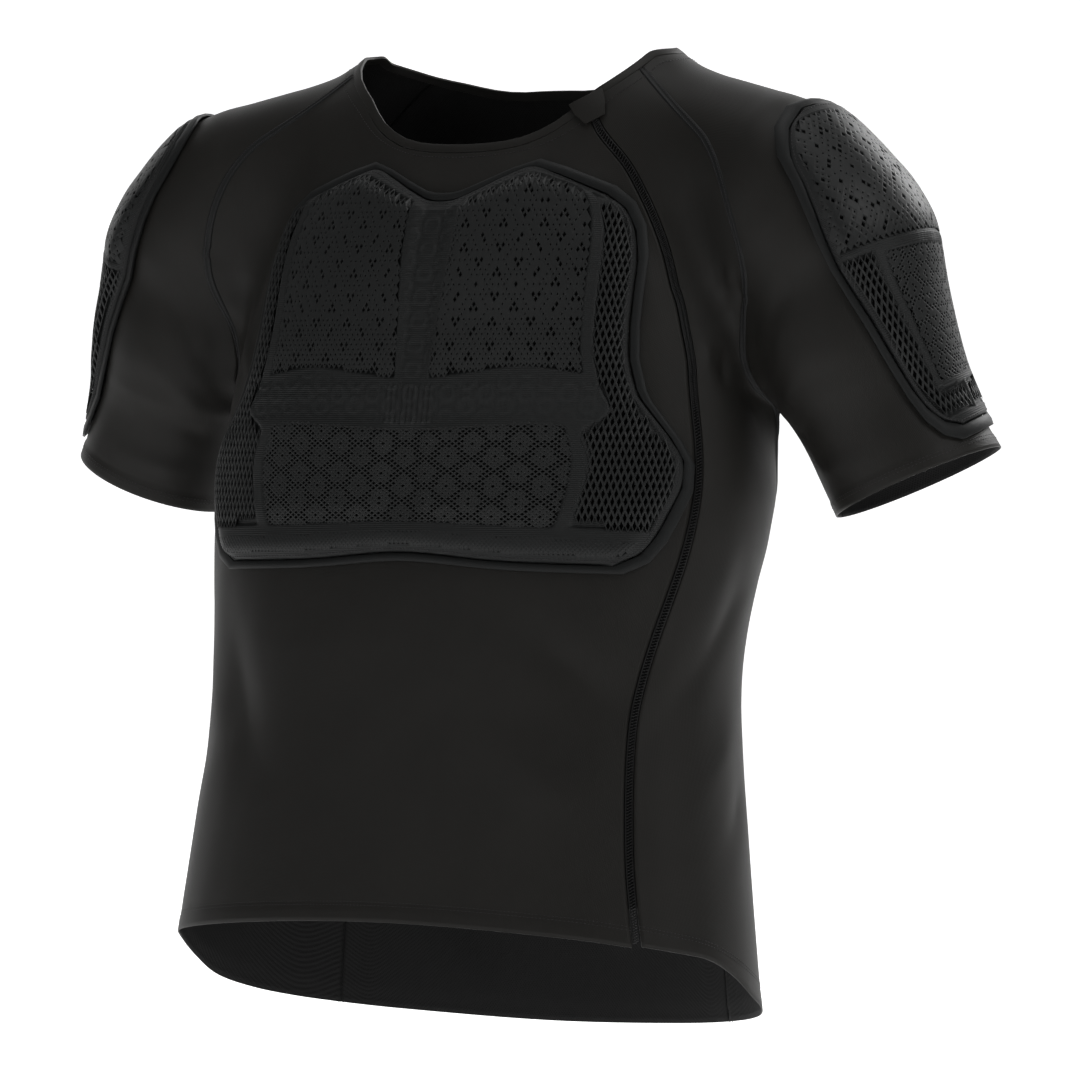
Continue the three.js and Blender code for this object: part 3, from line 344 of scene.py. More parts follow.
class Sheet:
    """A smooth surface through a grid of points. u and v run from 0 to 1 along its columns and rows."""

    def __init__(self, points):
        self.points = points
        self.rows, self.columns = points.shape[0] - 1, points.shape[1] - 1
        across = np.linalg.norm(np.diff(points, axis=1), axis=2)
        across = np.concatenate([np.zeros((self.rows + 1, 1)), np.cumsum(across, 1)], 1)
        self.width = across[:, -1].max()
        self.across = across - across[:, [self.columns // 2]]
        down = np.linalg.norm(np.diff(points, axis=0), axis=2)
        self.down = np.concatenate([np.zeros((1, self.columns + 1)), np.cumsum(down, 0)], 0)
        self.height = self.down[-1].max()
        self.area = grid_area(points)

    @staticmethod
    def wider(field):
        """A field with one more row and column past each border"""
        field = np.concatenate([2 * field[:1] - field[1:2], field, 2 * field[-1:] - field[-2:-1]], 0)
        return np.concatenate([2 * field[:, :1] - field[:, 1:2], field, 2 * field[:, -1:] - field[:, -2:-1]], 1)

    def sample(self, field, u, v):
        """A field of the grid at u and v, smoothly between its points"""
        wide = self.wider(field)
        x, y = u * self.columns, v * self.rows
        j = np.clip(np.floor(x).astype(int), 0, self.columns - 1)
        i = np.clip(np.floor(y).astype(int), 0, self.rows - 1)
        total = 0
        for a, wa in enumerate(catmull_weights(y - i)):
            for b, wb in enumerate(catmull_weights(x - j)):
                weight = wa * wb
                total = total + (weight[..., None] if field.ndim == 3 else weight) * wide[i + a, j + b]
        return total

    def at(self, u, v):
        """Points on the sheet"""
        return self.sample(self.points, u, v)

    def normal(self, u, v):
        """Outward directions"""
        e = 2e-3
        along = self.at(u + e, v) - self.at(u - e, v)
        fall = self.at(u, v + e) - self.at(u, v - e)
        n = np.cross(fall, along)
        return n / np.maximum(np.linalg.norm(n, axis=-1, keepdims=True), 1e-12)

    def find(self, a_field, b_field, a, b):
        """u and v where two fields of the grid have the values a and b"""
        spread = a_field.max() - a_field.min()
        u = np.clip((a - a_field.min()) / spread, 0, 1)
        v = np.clip((b - b_field.min()) / (b_field.max() - b_field.min()), 0, 1)
        e = 1e-3
        for _ in range(14):
            fa, fb = self.sample(a_field, u, v) - a, self.sample(b_field, u, v) - b
            au = (self.sample(a_field, u + e, v) - fa - a) / e
            av = (self.sample(a_field, u, v + e) - fa - a) / e
            bu = (self.sample(b_field, u + e, v) - fb - b) / e
            bv = (self.sample(b_field, u, v + e) - fb - b) / e
            det = au * bv - av * bu
            det = np.where(np.abs(det) < 1e-9, 1e-9, det)
            u = np.clip(u - np.clip((fa * bv - fb * av) / det, -0.1, 0.1), -0.03, 1.03)
            v = np.clip(v - np.clip((fb * au - fa * bu) / det, -0.1, 0.1), -0.03, 1.03)
        return u, v


# ---------------------------------------------------------------- meshes

def finish_mesh(bm, name, materials, smooth=True):
    """The bmesh as a piece that rides on the root body"""
    mesh = bpy.data.meshes.new(name)
    for face in bm.faces:
        face.smooth = smooth
    bm.to_mesh(mesh)
    bm.free()
    piece = bpy.data.objects.new(name, mesh)
    bpy.context.scene.collection.objects.link(piece)
    for material in materials:
        mesh.materials.append(material)
    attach(piece, "root")
    return piece


def grid_mesh(columns, rows):
    """A bmesh grid with each vertex's u from left to right and v from top to bottom"""
    bm = bmesh.new()
    bm.loops.layers.uv.new("UVMap")
    bmesh.ops.create_grid(bm, x_segments=columns, y_segments=rows, size=0.5)
    u = np.array([vert.co.x for vert in bm.verts]) + 0.5
    v = 0.5 - np.array([vert.co.y for vert in bm.verts])
    return bm, u, v


def place(bm, points, uvs=None):
    """Moves each vertex to its point, and lays the UV map out in metres"""
    for vert, point in zip(bm.verts, points):
        vert.co = point
    if uvs is not None:
        layer = bm.loops.layers.uv.active
        bm.verts.index_update()
        for face in bm.faces:
            for loop in face.loops:
                loop[layer].uv = uvs[loop.vert.index]
    bm.normal_update()


def join(bm, part):
    """Moves a finished part into a larger bmesh"""
    spare = bpy.data.meshes.new("spare")
    part.to_mesh(spare)
    part.free()
    bm.from_mesh(spare)
    bpy.data.meshes.remove(spare)


def keep_value(bm, name, values):
    """Stores one number for each vertex, for a material to read"""
    layer = bm.verts.layers.float.new(name)
    for vert, value in zip(bm.verts, values):
        vert[layer] = value


def solidify(piece, thickness, inside=0):
    """Gives a sheet its thickness, inwards"""
    modifier = piece.modifiers.new("thickness", "SOLIDIFY")
    modifier.thickness = thickness
    modifier.offset = -1
    modifier.use_even_offset = False
    modifier.material_offset = inside


def soft_step(x, low, high):
    t = np.clip((x - low) / (high - low), 0, 1)
    return t * t * (3 - 2 * t)


# Soft folds of the worn cloth in millimetres: both ends, half width, and height (below 0 a trough)
FOLDS = {
    "front_panel": [
        ((-196, -66, -132), (-150, -92, -196), 8, -2.2),
        ((-190, -52, -168), (-146, -98, -214), 9, 1.6),
        ((-150, -112, -362), (-112, -150, -470), 26, -2.6),
        ((-182, -62, -360), (-150, -110, -440), 15, 1.8),
        ((150, -118, -430), (92, -150, -372), 17, -1.8),
        ((140, -128, -500), (70, -160, -440), 22, 1.4),
        ((-186, -70, -490), (-130, -130, -420), 20, -1.8),
    ],
    "side_panel_left": [
        ((197, -52, -150), (182, -52, -214), 5, -2.4),
        ((190, -56, -146), (176, -62, -206), 5, 1.5),
        ((160, -112, -452), (190, -46, -352), 11, -2.6),
        ((158, -108, -420), (186, -58, -330), 9, 1.5),
        ((164, -118, -520), (190, -48, -440), 14, 1.7),
        ((170, -100, -560), (196, -30, -470), 15, -1.8),
    ],
    "back_panel": [
        ((-150, 40, -395), (-20, 52, -372), 13, -2.4),
        ((150, 40, -388), (24, 52, -366), 12, -2.2),
        ((-120, 46, -440), (60, 50, -420), 15, 1.8),
        ((120, 46, -470), (-40, 50, -448), 13, -1.6),
        ((-150, 74, -190), (-96, 90, -236), 10, 1.8),
        ((150, 74, -190), (96, 90, -236), 10, 1.8),
        ((-110, 50, -540), (-40, 52, -590), 20, 1.6),
        ((112, 50, -530), (52, 52, -580), 18, -1.5),
    ],
    "sleeve_left": [
        ((214, -48, -205), (232, -56, -160), 7, -2.2),
        ((222, -46, -232), (250, -55, -196), 8, 1.7),
        ((226, -30, -252), (258, -46, -232), 7, -1.6),
        ((240, -36, -276), (282, -38, -262), 8, 1.5),
        ((210, 38, -200), (238, 48, -160), 8, -2.2),
        ((226, 36, -240), (262, 50, -214), 9, 1.6),
    ],
}
FOLDS["sleeve_right"] = [((-a[0], a[1], a[2]), (-b[0], b[1], b[2]), width, height)
                         for a, b, width, height in FOLDS["sleeve_left"]]


FOLD_STRENGTH = 1.5


def folds(name, points):
    """How far the folds move each point outwards: soft, uneven ridges that fade out towards both ends"""
    total = np.zeros(points.shape[:-1])
    for start, end, width, height in FOLDS.get(name, []):
        a, b = np.array(start) * MM, np.array(end) * MM
        way = b - a
        share = np.clip(((points - a) @ way) / (way @ way), -0.2, 1.2)
        bend = 0.12 * np.linalg.norm(way) * np.sin(math.pi * share)
        away = np.linalg.norm(points - a - share[..., None] * way, axis=-1) + 0.4 * bend
        ends = np.clip(1 - (2 * share - 1) ** 2 / 1.96, 0, 1) ** 1.5
        total += FOLD_STRENGTH * height * MM * np.exp(-(away / (width * MM)) ** 2) * ends
    return total


# ---------------------------------------------------------------- materials

def add(tree, kind, inputs=None, **settings):
    """Adds a node, makes its settings and fills its inputs with values or with other nodes' outputs"""
    item = tree.nodes.new(kind)
    for key, value in settings.items():
        setattr(item, key, value)
    for key, value in (inputs or {}).items():
        if isinstance(value, bpy.types.NodeSocket):
            tree.links.new(value, item.inputs[key])
        else:
            item.inputs[key].default_value = value
    return item


def material(name, values):
    """A material with a principled surface that takes plain values, and its node tree"""
    made = bpy.data.materials.new(name)
    made.use_nodes = True
    tree = made.node_tree
    tree.nodes.clear()
    surface = add(tree, "ShaderNodeBsdfPrincipled", values)
    output = add(tree, "ShaderNodeOutputMaterial")
    tree.links.new(surface.outputs["BSDF"], output.inputs["Surface"])
    return made, tree, surface


def shade(code, factor):
    """A colour made lighter or darker"""
    return (code[0] * factor, code[1] * factor, code[2] * factor, 1.0)


def waves(tree, place, axis, period):
    """A wave from 0 to 1 along one axis, its period in metres"""
    return add(tree, "ShaderNodeTexWave", {"Vector": place, "Scale": 0.314 / period, "Distortion": 0.0},
               bands_direction=axis).outputs["Fac"]


def times(tree, a, b):
    return add(tree, "ShaderNodeMath", {0: a, 1: b}, operation="MULTIPLY").outputs[0]


def stepped(tree, value, low, high, out_low, out_high):
    return add(tree, "ShaderNodeMapRange", {"Value": value, "From Min": low, "From Max": high, "To Min": out_low,
                                            "To Max": out_high}).outputs["Result"]


def tone(tree, dark, light, share):
    return add(tree, "ShaderNodeMix", {"Factor": share, 6: dark, 7: light}, data_type="RGBA").outputs[2]


def bumped(tree, surface, height, depth, strength=1.0):
    bump = add(tree, "ShaderNodeBump", {"Height": height, "Distance": depth, "Strength": strength})
    tree.links.new(bump.outputs["Normal"], surface.inputs["Normal"])


def jersey_material(name, code, wale, depth):
    """Warp-knitted stretch jersey: fine wales that only show close up, painted darker in their hollows as shade, and
    a soft sheen along the folds
    """
    made, tree, surface = material(name, {"Roughness": 0.5, "Specular IOR Level": 0.16, "Sheen Weight": 0.012,
                                          "Sheen Roughness": 0.4, "Sheen Tint": (1.0, 0.97, 0.95, 1.0)})
    place = add(tree, "ShaderNodeTexCoord").outputs["UV"]
    wales = waves(tree, place, "X", wale)
    rows = waves(tree, place, "Y", wale * 0.8)
    knit = times(tree, wales, rows)
    cloud = add(tree, "ShaderNodeTexNoise", {"Vector": place, "Scale": 22.0, "Detail": 3.0}).outputs["Fac"]
    flecks = stepped(tree, cloud, 0.3, 0.7, 0.15, 0.85)
    base = tone(tree, shade(code, 0.86), shade(code, 1.16), flecks)
    # painted shade: the knit's low points, where its bump sinks, are painted darker
    tree.links.new(tone(tree, shade(code, 0.72), base, stepped(tree, knit, 0.0, 0.3, 0.45, 1.0)),
                   surface.inputs["Base Color"])
    bumped(tree, surface, knit, depth, 0.5)
    return made


def mesh_material(name, code, width, height):
    """Power mesh: small diamond holes between fine threads, the holes painted near-black as the shaded inside seen
    through them
    """
    made, tree, surface = material(name, {"Roughness": 0.6, "Specular IOR Level": 0.12, "Sheen Weight": 0.01,
                                          "Sheen Roughness": 0.5})
    place = add(tree, "ShaderNodeTexCoord").outputs["UV"]
    across, down = waves(tree, place, "X", width), waves(tree, place, "Y", height)
    a = add(tree, "ShaderNodeMath", {0: across, 1: 0.5}, operation="SUBTRACT").outputs[0]
    b = add(tree, "ShaderNodeMath", {0: down, 1: 0.5}, operation="SUBTRACT").outputs[0]
    lattice = stepped(tree, times(tree, a, b), 0.02, 0.12, 1.0, 0.0)
    # painted shade: the holes are painted near-black as the shaded inside seen through them
    tree.links.new(tone(tree, shade(code, 0.22), code, lattice), surface.inputs["Base Color"])
    bumped(tree, surface, lattice, 0.25 * MM, 0.7)
    return made


def pad_material(name, code):
    """Spacer-knit pad cover: a fine ribbed face painted darker in its grooves as shade, its raised rings and rib
    crests painted lighter as a highlight
    """
    made, tree, surface = material(name, {"Roughness": 0.5, "Specular IOR Level": 0.16, "Sheen Weight": 0.012,
                                          "Sheen Roughness": 0.4})
    place = add(tree, "ShaderNodeTexCoord").outputs["UV"]
    ribs = waves(tree, place, "Y", 1.3 * MM)
    # light: painted highlight on the raised rings and rib crests, painted shade in the grooves; the ribs below are
    # painted darker in their grooves as shade
    light = add(tree, "ShaderNodeAttribute", attribute_name="light", attribute_type="GEOMETRY").outputs["Fac"]
    ribbed = tone(tree, shade(code, 0.7), code, ribs)
    raised = tone(tree, shade(code, 0.5), shade(code, 1.5), light)
    mixed = add(tree, "ShaderNodeMix", {"Factor": 0.55, 6: ribbed, 7: raised}, data_type="RGBA").outputs[2]
    tree.links.new(mixed, surface.inputs["Base Color"])
    bumped(tree, surface, ribs, 0.2 * MM, 0.6)
    return made


def plain_material(name, code, roughness, specular=0.35, sheen=0.0, grain=None):
    """A plain thread, foam or moulded surface, with a fine grain where a size is given"""
    made, tree, surface = material(name, {"Roughness": roughness, "Specular IOR Level": specular,
                                          "Sheen Weight": sheen, "Base Color": tuple(code)})
    if grain:
        place = add(tree, "ShaderNodeTexCoord").outputs["Object"]
        noise = add(tree, "ShaderNodeTexNoise", {"Vector": place, "Scale": 1 / grain, "Detail": 2.0}).outputs["Fac"]
        tree.links.new(tone(tree, shade(code, 0.75), shade(code, 1.25), noise), surface.inputs["Base Color"])
        bumped(tree, surface, noise, grain * 0.2, 0.6)
    return made


FLOOR_GLOW = 0.8          # the floor's own light, which keeps the backdrop as white as the photo's


def make_materials():
    """Every material of the shirt, once"""
    c = colours()
    if "Stretch jersey" in bpy.data.materials:
        return
    jersey_material("Stretch jersey", c.jersey, 1.1 * MM, 0.12 * MM)
    mesh_material("Power mesh", c.mesh, 2.0 * MM, 2.6 * MM)
    pad_material("Spacer knit cover", c.pad)
    plain_material("Net thread", c.pad, 0.45, 0.2, 0.015)
    # foam at the bottoms of the nets' holes and under the covers, painted near-black as the holes' shadow
    plain_material("Pad foam with painted shadow", c.hole, 0.95, 0.02)
    plain_material("Bound edge", c.binding, 0.5, 0.15, 0.012, 0.9 * MM)
    plain_material("Sewing thread", c.thread, 0.45, 0.2, 0.015)
    plain_material("Zip coil", c.zip, 0.35, 0.25)
    plain_material("Zip tape", c.zip, 0.7, 0.1, 0.01, 0.7 * MM)
    floor = plain_material("Studio floor", c.floor, 0.9, 0.1)
    surface = next(item for item in floor.node_tree.nodes if item.type == "BSDF_PRINCIPLED")
    surface.inputs["Emission Color"].default_value = tuple(c.floor)
    surface.inputs["Emission Strength"].default_value = FLOOR_GLOW


def named(name):
    make_materials()
    return bpy.data.materials[name]


# ---------------------------------------------------------------- panels

# Each panel: fine columns and rows, its material and its slot
PANELS = {
    "front_panel": (170, 220, "Stretch jersey", "jersey"),
    "side_panel_left": (64, 220, "Stretch jersey", "jersey"),
    "back_panel": (140, 210, "Power mesh", "mesh"),
    "sleeve_left": (130, 120, "Stretch jersey", "jersey"),
    "sleeve_right": (130, 120, "Stretch jersey", "jersey"),
}
PIECE_NAMES = {
    "front_panel": "front_panel_cloth",
    "side_panel_left": "side_panel_left_cloth",
    "back_panel": "back_panel_cloth",
    "sleeve_left": "sleeve_left_cloth",
    "sleeve_right": "sleeve_right_cloth",
}
NECK_TUCK = 3.5 * MM     # how far the panels run up under the neck band
SHEETS = {}   # the smooth sheet of each solid, made once


def sheet_of(name):
    if name not in SHEETS:
        SHEETS[name] = Sheet(skin_grid(name))
    return SHEETS[name]


def panel(name):
    """One knitted panel with its soft folds and its turned edge"""
    columns, rows, skin, slot = PANELS[name]
    sheet = sheet_of(name)
    bm, u, v = grid_mesh(columns, rows)
    tuck = NECK_TUCK / sheet.height
    v = v * (1 + tuck) - tuck
    points, normals = sheet.at(u, v), sheet.normal(u, v)
    points = points - normals * (0.5 * MM * soft_step(-v / tuck, 0, 0.6))[:, None]
    down = sheet.sample(sheet.down, u, v)
    full = sheet.sample(np.repeat(sheet.down[-1:], sheet.rows + 1, 0), u, v)
    above = full - down
    hem = sizes().hem
    turned = 0.45 * MM * soft_step(above, hem + 1.2 * MM, hem - 0.4 * MM)
    line = -0.35 * MM * np.exp(-((above - hem) / (1.1 * MM)) ** 2)
    points = points + normals * (folds(name, points) + turned + line)[:, None]
    across = sheet.sample(sheet.across, u, v)
    place(bm, points, np.stack([across, -down], 1))
    if name.startswith("sleeve"):
        bmesh.ops.remove_doubles(bm, verts=bm.verts, dist=20 * WELD)
    piece = finish_mesh(bm, PIECE_NAMES[name], [named(skin), named("Power mesh")])
    solidify(piece, sizes().cloth, inside=1)
    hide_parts(name)
    return piece


COAT = {}     # the search tree over all panels, made once


def coat():
    """A search tree over the dressed panels, to lay seams and stitches on"""
    if "tree" not in COAT:
        bm = bmesh.new()
        for name in PIECE_NAMES.values():
            bm.from_mesh(bpy.data.objects[name].data)
        COAT["tree"] = BVHTree.FromBMesh(bm)
        bm.free()
    return COAT["tree"]


# ---------------------------------------------------------------- lines along the cloth

def resampled(points, step):
    """Points at even steps along a line"""
    lengths = np.concatenate([[0], np.cumsum(np.linalg.norm(np.diff(points, axis=0), axis=1))])
    count = max(2, int(round(lengths[-1] / step)) + 1)
    marks = np.linspace(0, lengths[-1], count)
    return np.stack([np.interp(marks, lengths, points[:, k]) for k in range(3)], 1)


def sheet_line(name, us, vs):
    """Points of a solid's smooth sheet along a path of u and v"""
    sheet = sheet_of(name)
    return sheet.at(np.asarray(us, float), np.asarray(vs, float))


def on_coat(points, tree):
    """The nearest points of the cloth and their outward directions"""
    found = [tree.find_nearest(Vector(p)) for p in points]
    return np.array([f[0] for f in found]), np.array([f[1] for f in found])


def softened(field, rounds):
    for _ in range(rounds):
        field = np.concatenate([field[:1], (field[:-2] + 2 * field[1:-1] + field[2:]) / 4, field[-1:]])
    return field


def frames(line, tree):
    """Points on the cloth, tangents, sideways and outward directions along a line"""
    spots, normals = on_coat(line, tree)
    normals = softened(normals, 3)
    tangents = np.gradient(line, axis=0)
    tangents /= np.linalg.norm(tangents, axis=1, keepdims=True)
    sides = np.cross(tangents, normals)
    sides /= np.linalg.norm(sides, axis=1, keepdims=True)
    return spots, tangents, sides, normals


def ribbon(bm, line, width, profile, tree, lift):
    """A strip over the cloth along a line. The profile gives its height at even steps across its width."""
    spots, _, sides, _ = frames(line, tree)
    across = len(profile) - 1
    part = bmesh.new()
    bmesh.ops.create_grid(part, x_segments=across, y_segments=len(line) - 1, size=0.5)
    for vert in part.verts:
        k = int(round((vert.co.x + 0.5) * across))
        i = int(round((vert.co.y + 0.5) * (len(line) - 1)))
        near, normal, _, _ = tree.find_nearest(Vector(spots[i] + sides[i] * width * (k / across - 0.5)))
        vert.co = near + normal * (lift + profile[k])
    bmesh.ops.recalc_face_normals(part, faces=part.faces)
    part.faces.ensure_lookup_table()
    face = part.faces[len(part.faces) // 2]
    if face.normal.dot(tree.find_nearest(face.calc_center_median())[1]) < 0:
        bmesh.ops.reverse_faces(part, faces=part.faces)
    join(bm, part)


def stitches(bm, line, pitch, size, tree, lift=0.0, side=0.0, tilt=0.0):
    """Rows of small stitches along a line over the cloth"""
    line = resampled(line, pitch)
    _, tangents, sides, normals = frames(line, tree)
    for spot, tangent, sideways, normal in zip(line, tangents, sides, normals):
        near, out, _, _ = tree.find_nearest(Vector(spot + sideways * side))
        way = Vector(tangent) * math.cos(tilt) + Vector(sideways) * math.sin(tilt)
        other = Vector(normal).cross(way).normalized()
        turn = Matrix((way * size[0] / 2, other * size[1] / 2, Vector(normal) * size[2] / 2)).transposed().to_4x4()
        bmesh.ops.create_icosphere(bm, subdivisions=1, radius=1,
                                   matrix=Matrix.Translation(near + out * lift) @ turn)


EDGE = np.linspace(0, 1, 160)


LINE_STEP = 3 * MM        # between two points of a seam's line
# Heights across a flat seam: a thread ridge on each side of the joint
SEAM_PROFILE = [h * MM for h in (-0.25, 0.25, 0.5, 0.3, 0.12, 0.3, 0.5, 0.25, -0.25)]


def seam_lines():
    """The lines of the four long seams, from the neck to the hem or the underarm"""
    zip_end = sheet_line("zip_chain", [0.5], [1.0])[0]
    lines = []
    for name in ("front_panel", "side_panel_left"):
        borders = [sheet_line(name, np.full(len(EDGE), u), EDGE) for u in (0.0, 1.0)]
        lines.append(resampled(max(borders, key=lambda line: np.linalg.norm(line[-1] - zip_end)), LINE_STEP))
    laid = np.concatenate(lines)
    for u in (0, 1):
        back = resampled(sheet_line("back_panel", np.full(len(EDGE), u), EDGE), LINE_STEP)
        gap = np.linalg.norm(back[:, None] - laid[None], axis=2).min(1)
        free = np.nonzero(gap > LINE_STEP)[0]
        lines.append(back[:free[-1] + 2])
    return lines


def make_seams():
    """Flat seams over the joined panels: two thread ridges and a row of stitches on each"""
    tree = coat()
    s = sizes()
    bm = bmesh.new()
    for line in seam_lines():
        ribbon(bm, line, s.seam_width, SEAM_PROFILE, tree, 0.15 * MM)
    strips = finish_mesh(bm, "flat_seams", [named("Bound edge")])
    solidify(strips, 0.35 * MM)
    bm = bmesh.new()
    for line in seam_lines():
        for side in (-1, 1):
            stitches(bm, line, s.stitch * 0.75, (s.stitch * 0.8, s.thread, s.thread), tree,
                     lift=0.62 * MM, side=side * s.seam_width * 0.25, tilt=0.35 * side)
    threads = finish_mesh(bm, "seam_stitches", [named("Sewing thread")])


def hem_ring(names, above):
    """Points at a height above the lower edge of each panel in turn"""
    lines = []
    for name in names:
        sheet = sheet_of(name)
        u = np.linspace(0, 1, 120)
        v = 1 - above / sheet.sample(np.repeat(sheet.down[-1:], sheet.rows + 1, 0), u, np.ones(120))
        lines.append(sheet.at(u, v))
    return lines


def neck_lines():
    """Points just below the neck band, panel by panel"""
    for name in PANELS:
        sheet = sheet_of(name)
        u = np.linspace(0, 1, 60)
        fall = sheet.sample(sheet.down, u, np.full(60, 0.1))
        yield sheet.at(u, 0.1 * NECK_STITCHES / fall)


NECK_STITCHES = 8 * MM    # from the neck's edge down to its row of stitches


def make_hem_stitches():
    """Two rows of stitches round the hem and the cuffs, and one below the neck band"""
    tree = coat()
    s = sizes()
    bm = bmesh.new()
    for names in (("front_panel", "side_panel_left", "back_panel"), ("sleeve_left",), ("sleeve_right",)):
        for line in hem_ring(names, s.hem):
            for side in (-1.1 * MM, 1.1 * MM):
                stitches(bm, line, s.stitch, (s.stitch * 0.72, s.thread * 0.8, s.thread * 0.7), tree,
                         lift=0.1 * MM, side=side)
    for line in neck_lines():
        stitches(bm, line, s.stitch, (s.stitch * 0.72, s.thread, s.thread * 0.8), tree, lift=0.15 * MM)
    piece = finish_mesh(bm, "hem_stitches", [named("Sewing thread")])
    return piece


# ---------------------------------------------------------------- trims copied from their solids

TRIMS = {
    "neck_band": ("neck_band_cloth", "Stretch jersey", "jersey"),
    "chest_pad_binding": ("chest_pad_edge", "Bound edge", "binding"),
    "shoulder_pad_binding_left": ("shoulder_pad_edge_left", "Bound edge", "binding"),
    "shoulder_pad_binding_right": ("shoulder_pad_edge_right", "Bound edge", "binding"),
    "zip_tape": ("zip_tape_cloth", "Zip tape", "tape"),
    "zip_garage": ("zip_garage_cloth", "Stretch jersey", "jersey"),
}


TRIM_ROUND = 0.12         # a usual distance of a trim from the body's axis, for its UV map
TRIM_SHARP = math.radians(50)
TRIM_BEVEL = 0.3 * MM


def trim(name):
    """A rounded trim on the form of its solid"""
    title, skin, slot = TRIMS[name]
    bm = welded(name)
    bmesh.ops.join_triangles(bm, faces=bm.faces, angle_face_threshold=0.6, angle_shape_threshold=0.9)
    sharp = [e for e in bm.edges if len(e.link_faces) == 2 and e.calc_face_angle(0) > TRIM_SHARP]
    bmesh.ops.bevel(bm, geom=sharp, offset=TRIM_BEVEL, segments=3, affect="EDGES", profile=0.5, material=-1)
    layer = bm.loops.layers.uv.new("UVMap")
    for face in bm.faces:
        for loop in face.loops:
            co = loop.vert.co
            loop[layer].uv = (math.atan2(co.x, -co.y) * TRIM_ROUND, co.z)
    piece = finish_mesh(bm, title, [named(skin)])
    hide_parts(name)
    return piece


TURN = (1.45 * MM, 0.42 * MM, 0.75 * MM)   # half lengths of one turn of the coil
TURN_SIDE = 0.95 * MM     # from the chain's middle to a turn's middle
TURN_SINK = 0.2 * MM
TURN_TILT = 0.3           # radians
CORD_SIDE = 2.05          # millimetres from the chain's middle to the sewn edge of the coil
CORD_WIDTH = 0.9
CORD_LIFT = -0.3
CORD_ROUND = 0.45


def make_coil():
    """The zip's coil: two rows of small tilted turns"""
    s = sizes()
    sheet = sheet_of("zip_chain")
    marks = np.linspace(0, 1, 400)
    line = resampled(sheet.at(np.full(400, 0.5), marks), s.tooth / 2)
    v = np.linspace(0, 1, len(line))
    centre, out = sheet.at(np.full(len(v), 0.5), v), sheet.normal(np.full(len(v), 0.5), v)
    tangents = np.gradient(centre, axis=0)
    tangents /= np.linalg.norm(tangents, axis=1, keepdims=True)
    bm = bmesh.new()
    for k in range(len(v)):
        way = Vector(tangents[k])
        normal = Vector(out[k])
        side = way.cross(normal).normalized()
        hand = 1 if k % 2 else -1
        along = (side * math.cos(TURN_TILT) + way * math.sin(TURN_TILT)).normalized() * hand
        other = normal.cross(along).normalized()
        turn = Matrix((along * TURN[0], other * TURN[1], normal * TURN[2])).transposed().to_4x4()
        spot = Vector(centre[k]) + side * hand * TURN_SIDE - normal * TURN_SINK
        bmesh.ops.create_icosphere(bm, subdivisions=1, radius=1, matrix=Matrix.Translation(spot) @ turn)
    for hand in (-1, 1):
        part = bmesh.new()
        bmesh.ops.create_grid(part, x_segments=4, y_segments=160, size=0.5)
        for vert in part.verts:
            x, y = vert.co.x, vert.co.y
            at = np.array([0.5 - y])
            mid, n = sheet.at(np.array([0.5]), at)[0], sheet.normal(np.array([0.5]), at)[0]
            ahead = sheet.at(np.array([0.5]), at + 2e-3)[0] - sheet.at(np.array([0.5]), at - 2e-3)[0]
            side = np.cross(ahead / np.linalg.norm(ahead), n)
            rise = CORD_LIFT + CORD_ROUND * (1 - 4 * x * x)
            vert.co = Vector(mid + side * (hand * CORD_SIDE + x * CORD_WIDTH) * MM + n * rise * MM)
        bmesh.ops.recalc_face_normals(part, faces=part.faces)
        join(bm, part)
    piece = finish_mesh(bm, "zip_coil", [named("Zip coil")])
    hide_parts("zip_chain")
    return piece


# ---------------------------------------------------------------- pads

COVER_LIFT = 0.1 * MM     # the pad's cover above its solid's skin
TRAY = 1.8 * MM           # how far the cover sinks below a net
SKIRT = 3.5 * MM          # how far the cover runs on under the bound edge
SKIRT_FALL = 3.0 * MM     # and how far it falls there


class Pad:
    """A pad's smooth outer skin with shares across and down, and millimetre coordinates for its knit"""

    def __init__(self, name):
        self.sheet = sheet_of(name)
        middle = self.sheet.columns // 2
        half = np.maximum(np.abs(self.sheet.across[:, :1]), np.abs(self.sheet.across[:, -1:]))
        self.s = self.sheet.across / half
        run = self.sheet.down[:, middle]
        self.t = np.repeat((run / run[-1])[:, None], self.sheet.columns + 1, 1)
        self.a = self.sheet.across
        if name == "chest_pad":
            top, low = self.sheet.points[0, middle, 2], self.sheet.points[-1, middle, 2]
            self.b = (top - self.sheet.points[:, :, 2]) * run[-1] / (top - low)
        else:
            self.b = np.repeat(run[:, None], self.sheet.columns + 1, 1)
        self.half = half.mean()
        self.height = run[-1]

    def fields(self, u, v):
        return [self.sheet.sample(f, u, v) for f in (self.s, self.t, self.a, self.b)]


def inside(pad, s, t, s0, s1, t0, t1):
    """How far a place lies inside a field of the pad, in metres"""
    s = np.abs(s)
    return np.minimum(np.minimum((s - s0) * pad.half, (s1 - s) * pad.half),
                      np.minimum((t - t0) * pad.height, (t1 - t) * pad.height))


def chest_zones(pad, s, t):
    """The chest pad's nets: how far inside each a place lies"""
    outer = 0.83 - 0.17 * soft_step(t, 0.60, 0.68)
    return {
        "upper": inside(pad, s, t, 0.135 - 0.13 * t, 0.80, 0.012, 0.53),
        "low": inside(pad, s, t, -1, 0.63, 0.655, 0.925),
        "side": inside(pad, s, t, outer, 0.99, 0.015, 0.925),
        "bottom": inside(pad, s, t, -1, 0.97, 0.935, 0.99),
    }


def shoulder_zones(pad, s, t):
    """A shoulder pad's nets: how far inside each a place lies"""
    outer = 0.60 - 0.60 * soft_step(t, 0.885, 0.90)
    return {
        "open": inside(pad, s, t, -1, 0.97, 0.02, 0.47),
        "dense": inside(pad, s, t, -1, 0.57, 0.49, 0.88),
        "side": inside(pad, s, t, outer, 0.98, 0.475, 0.985),
    }


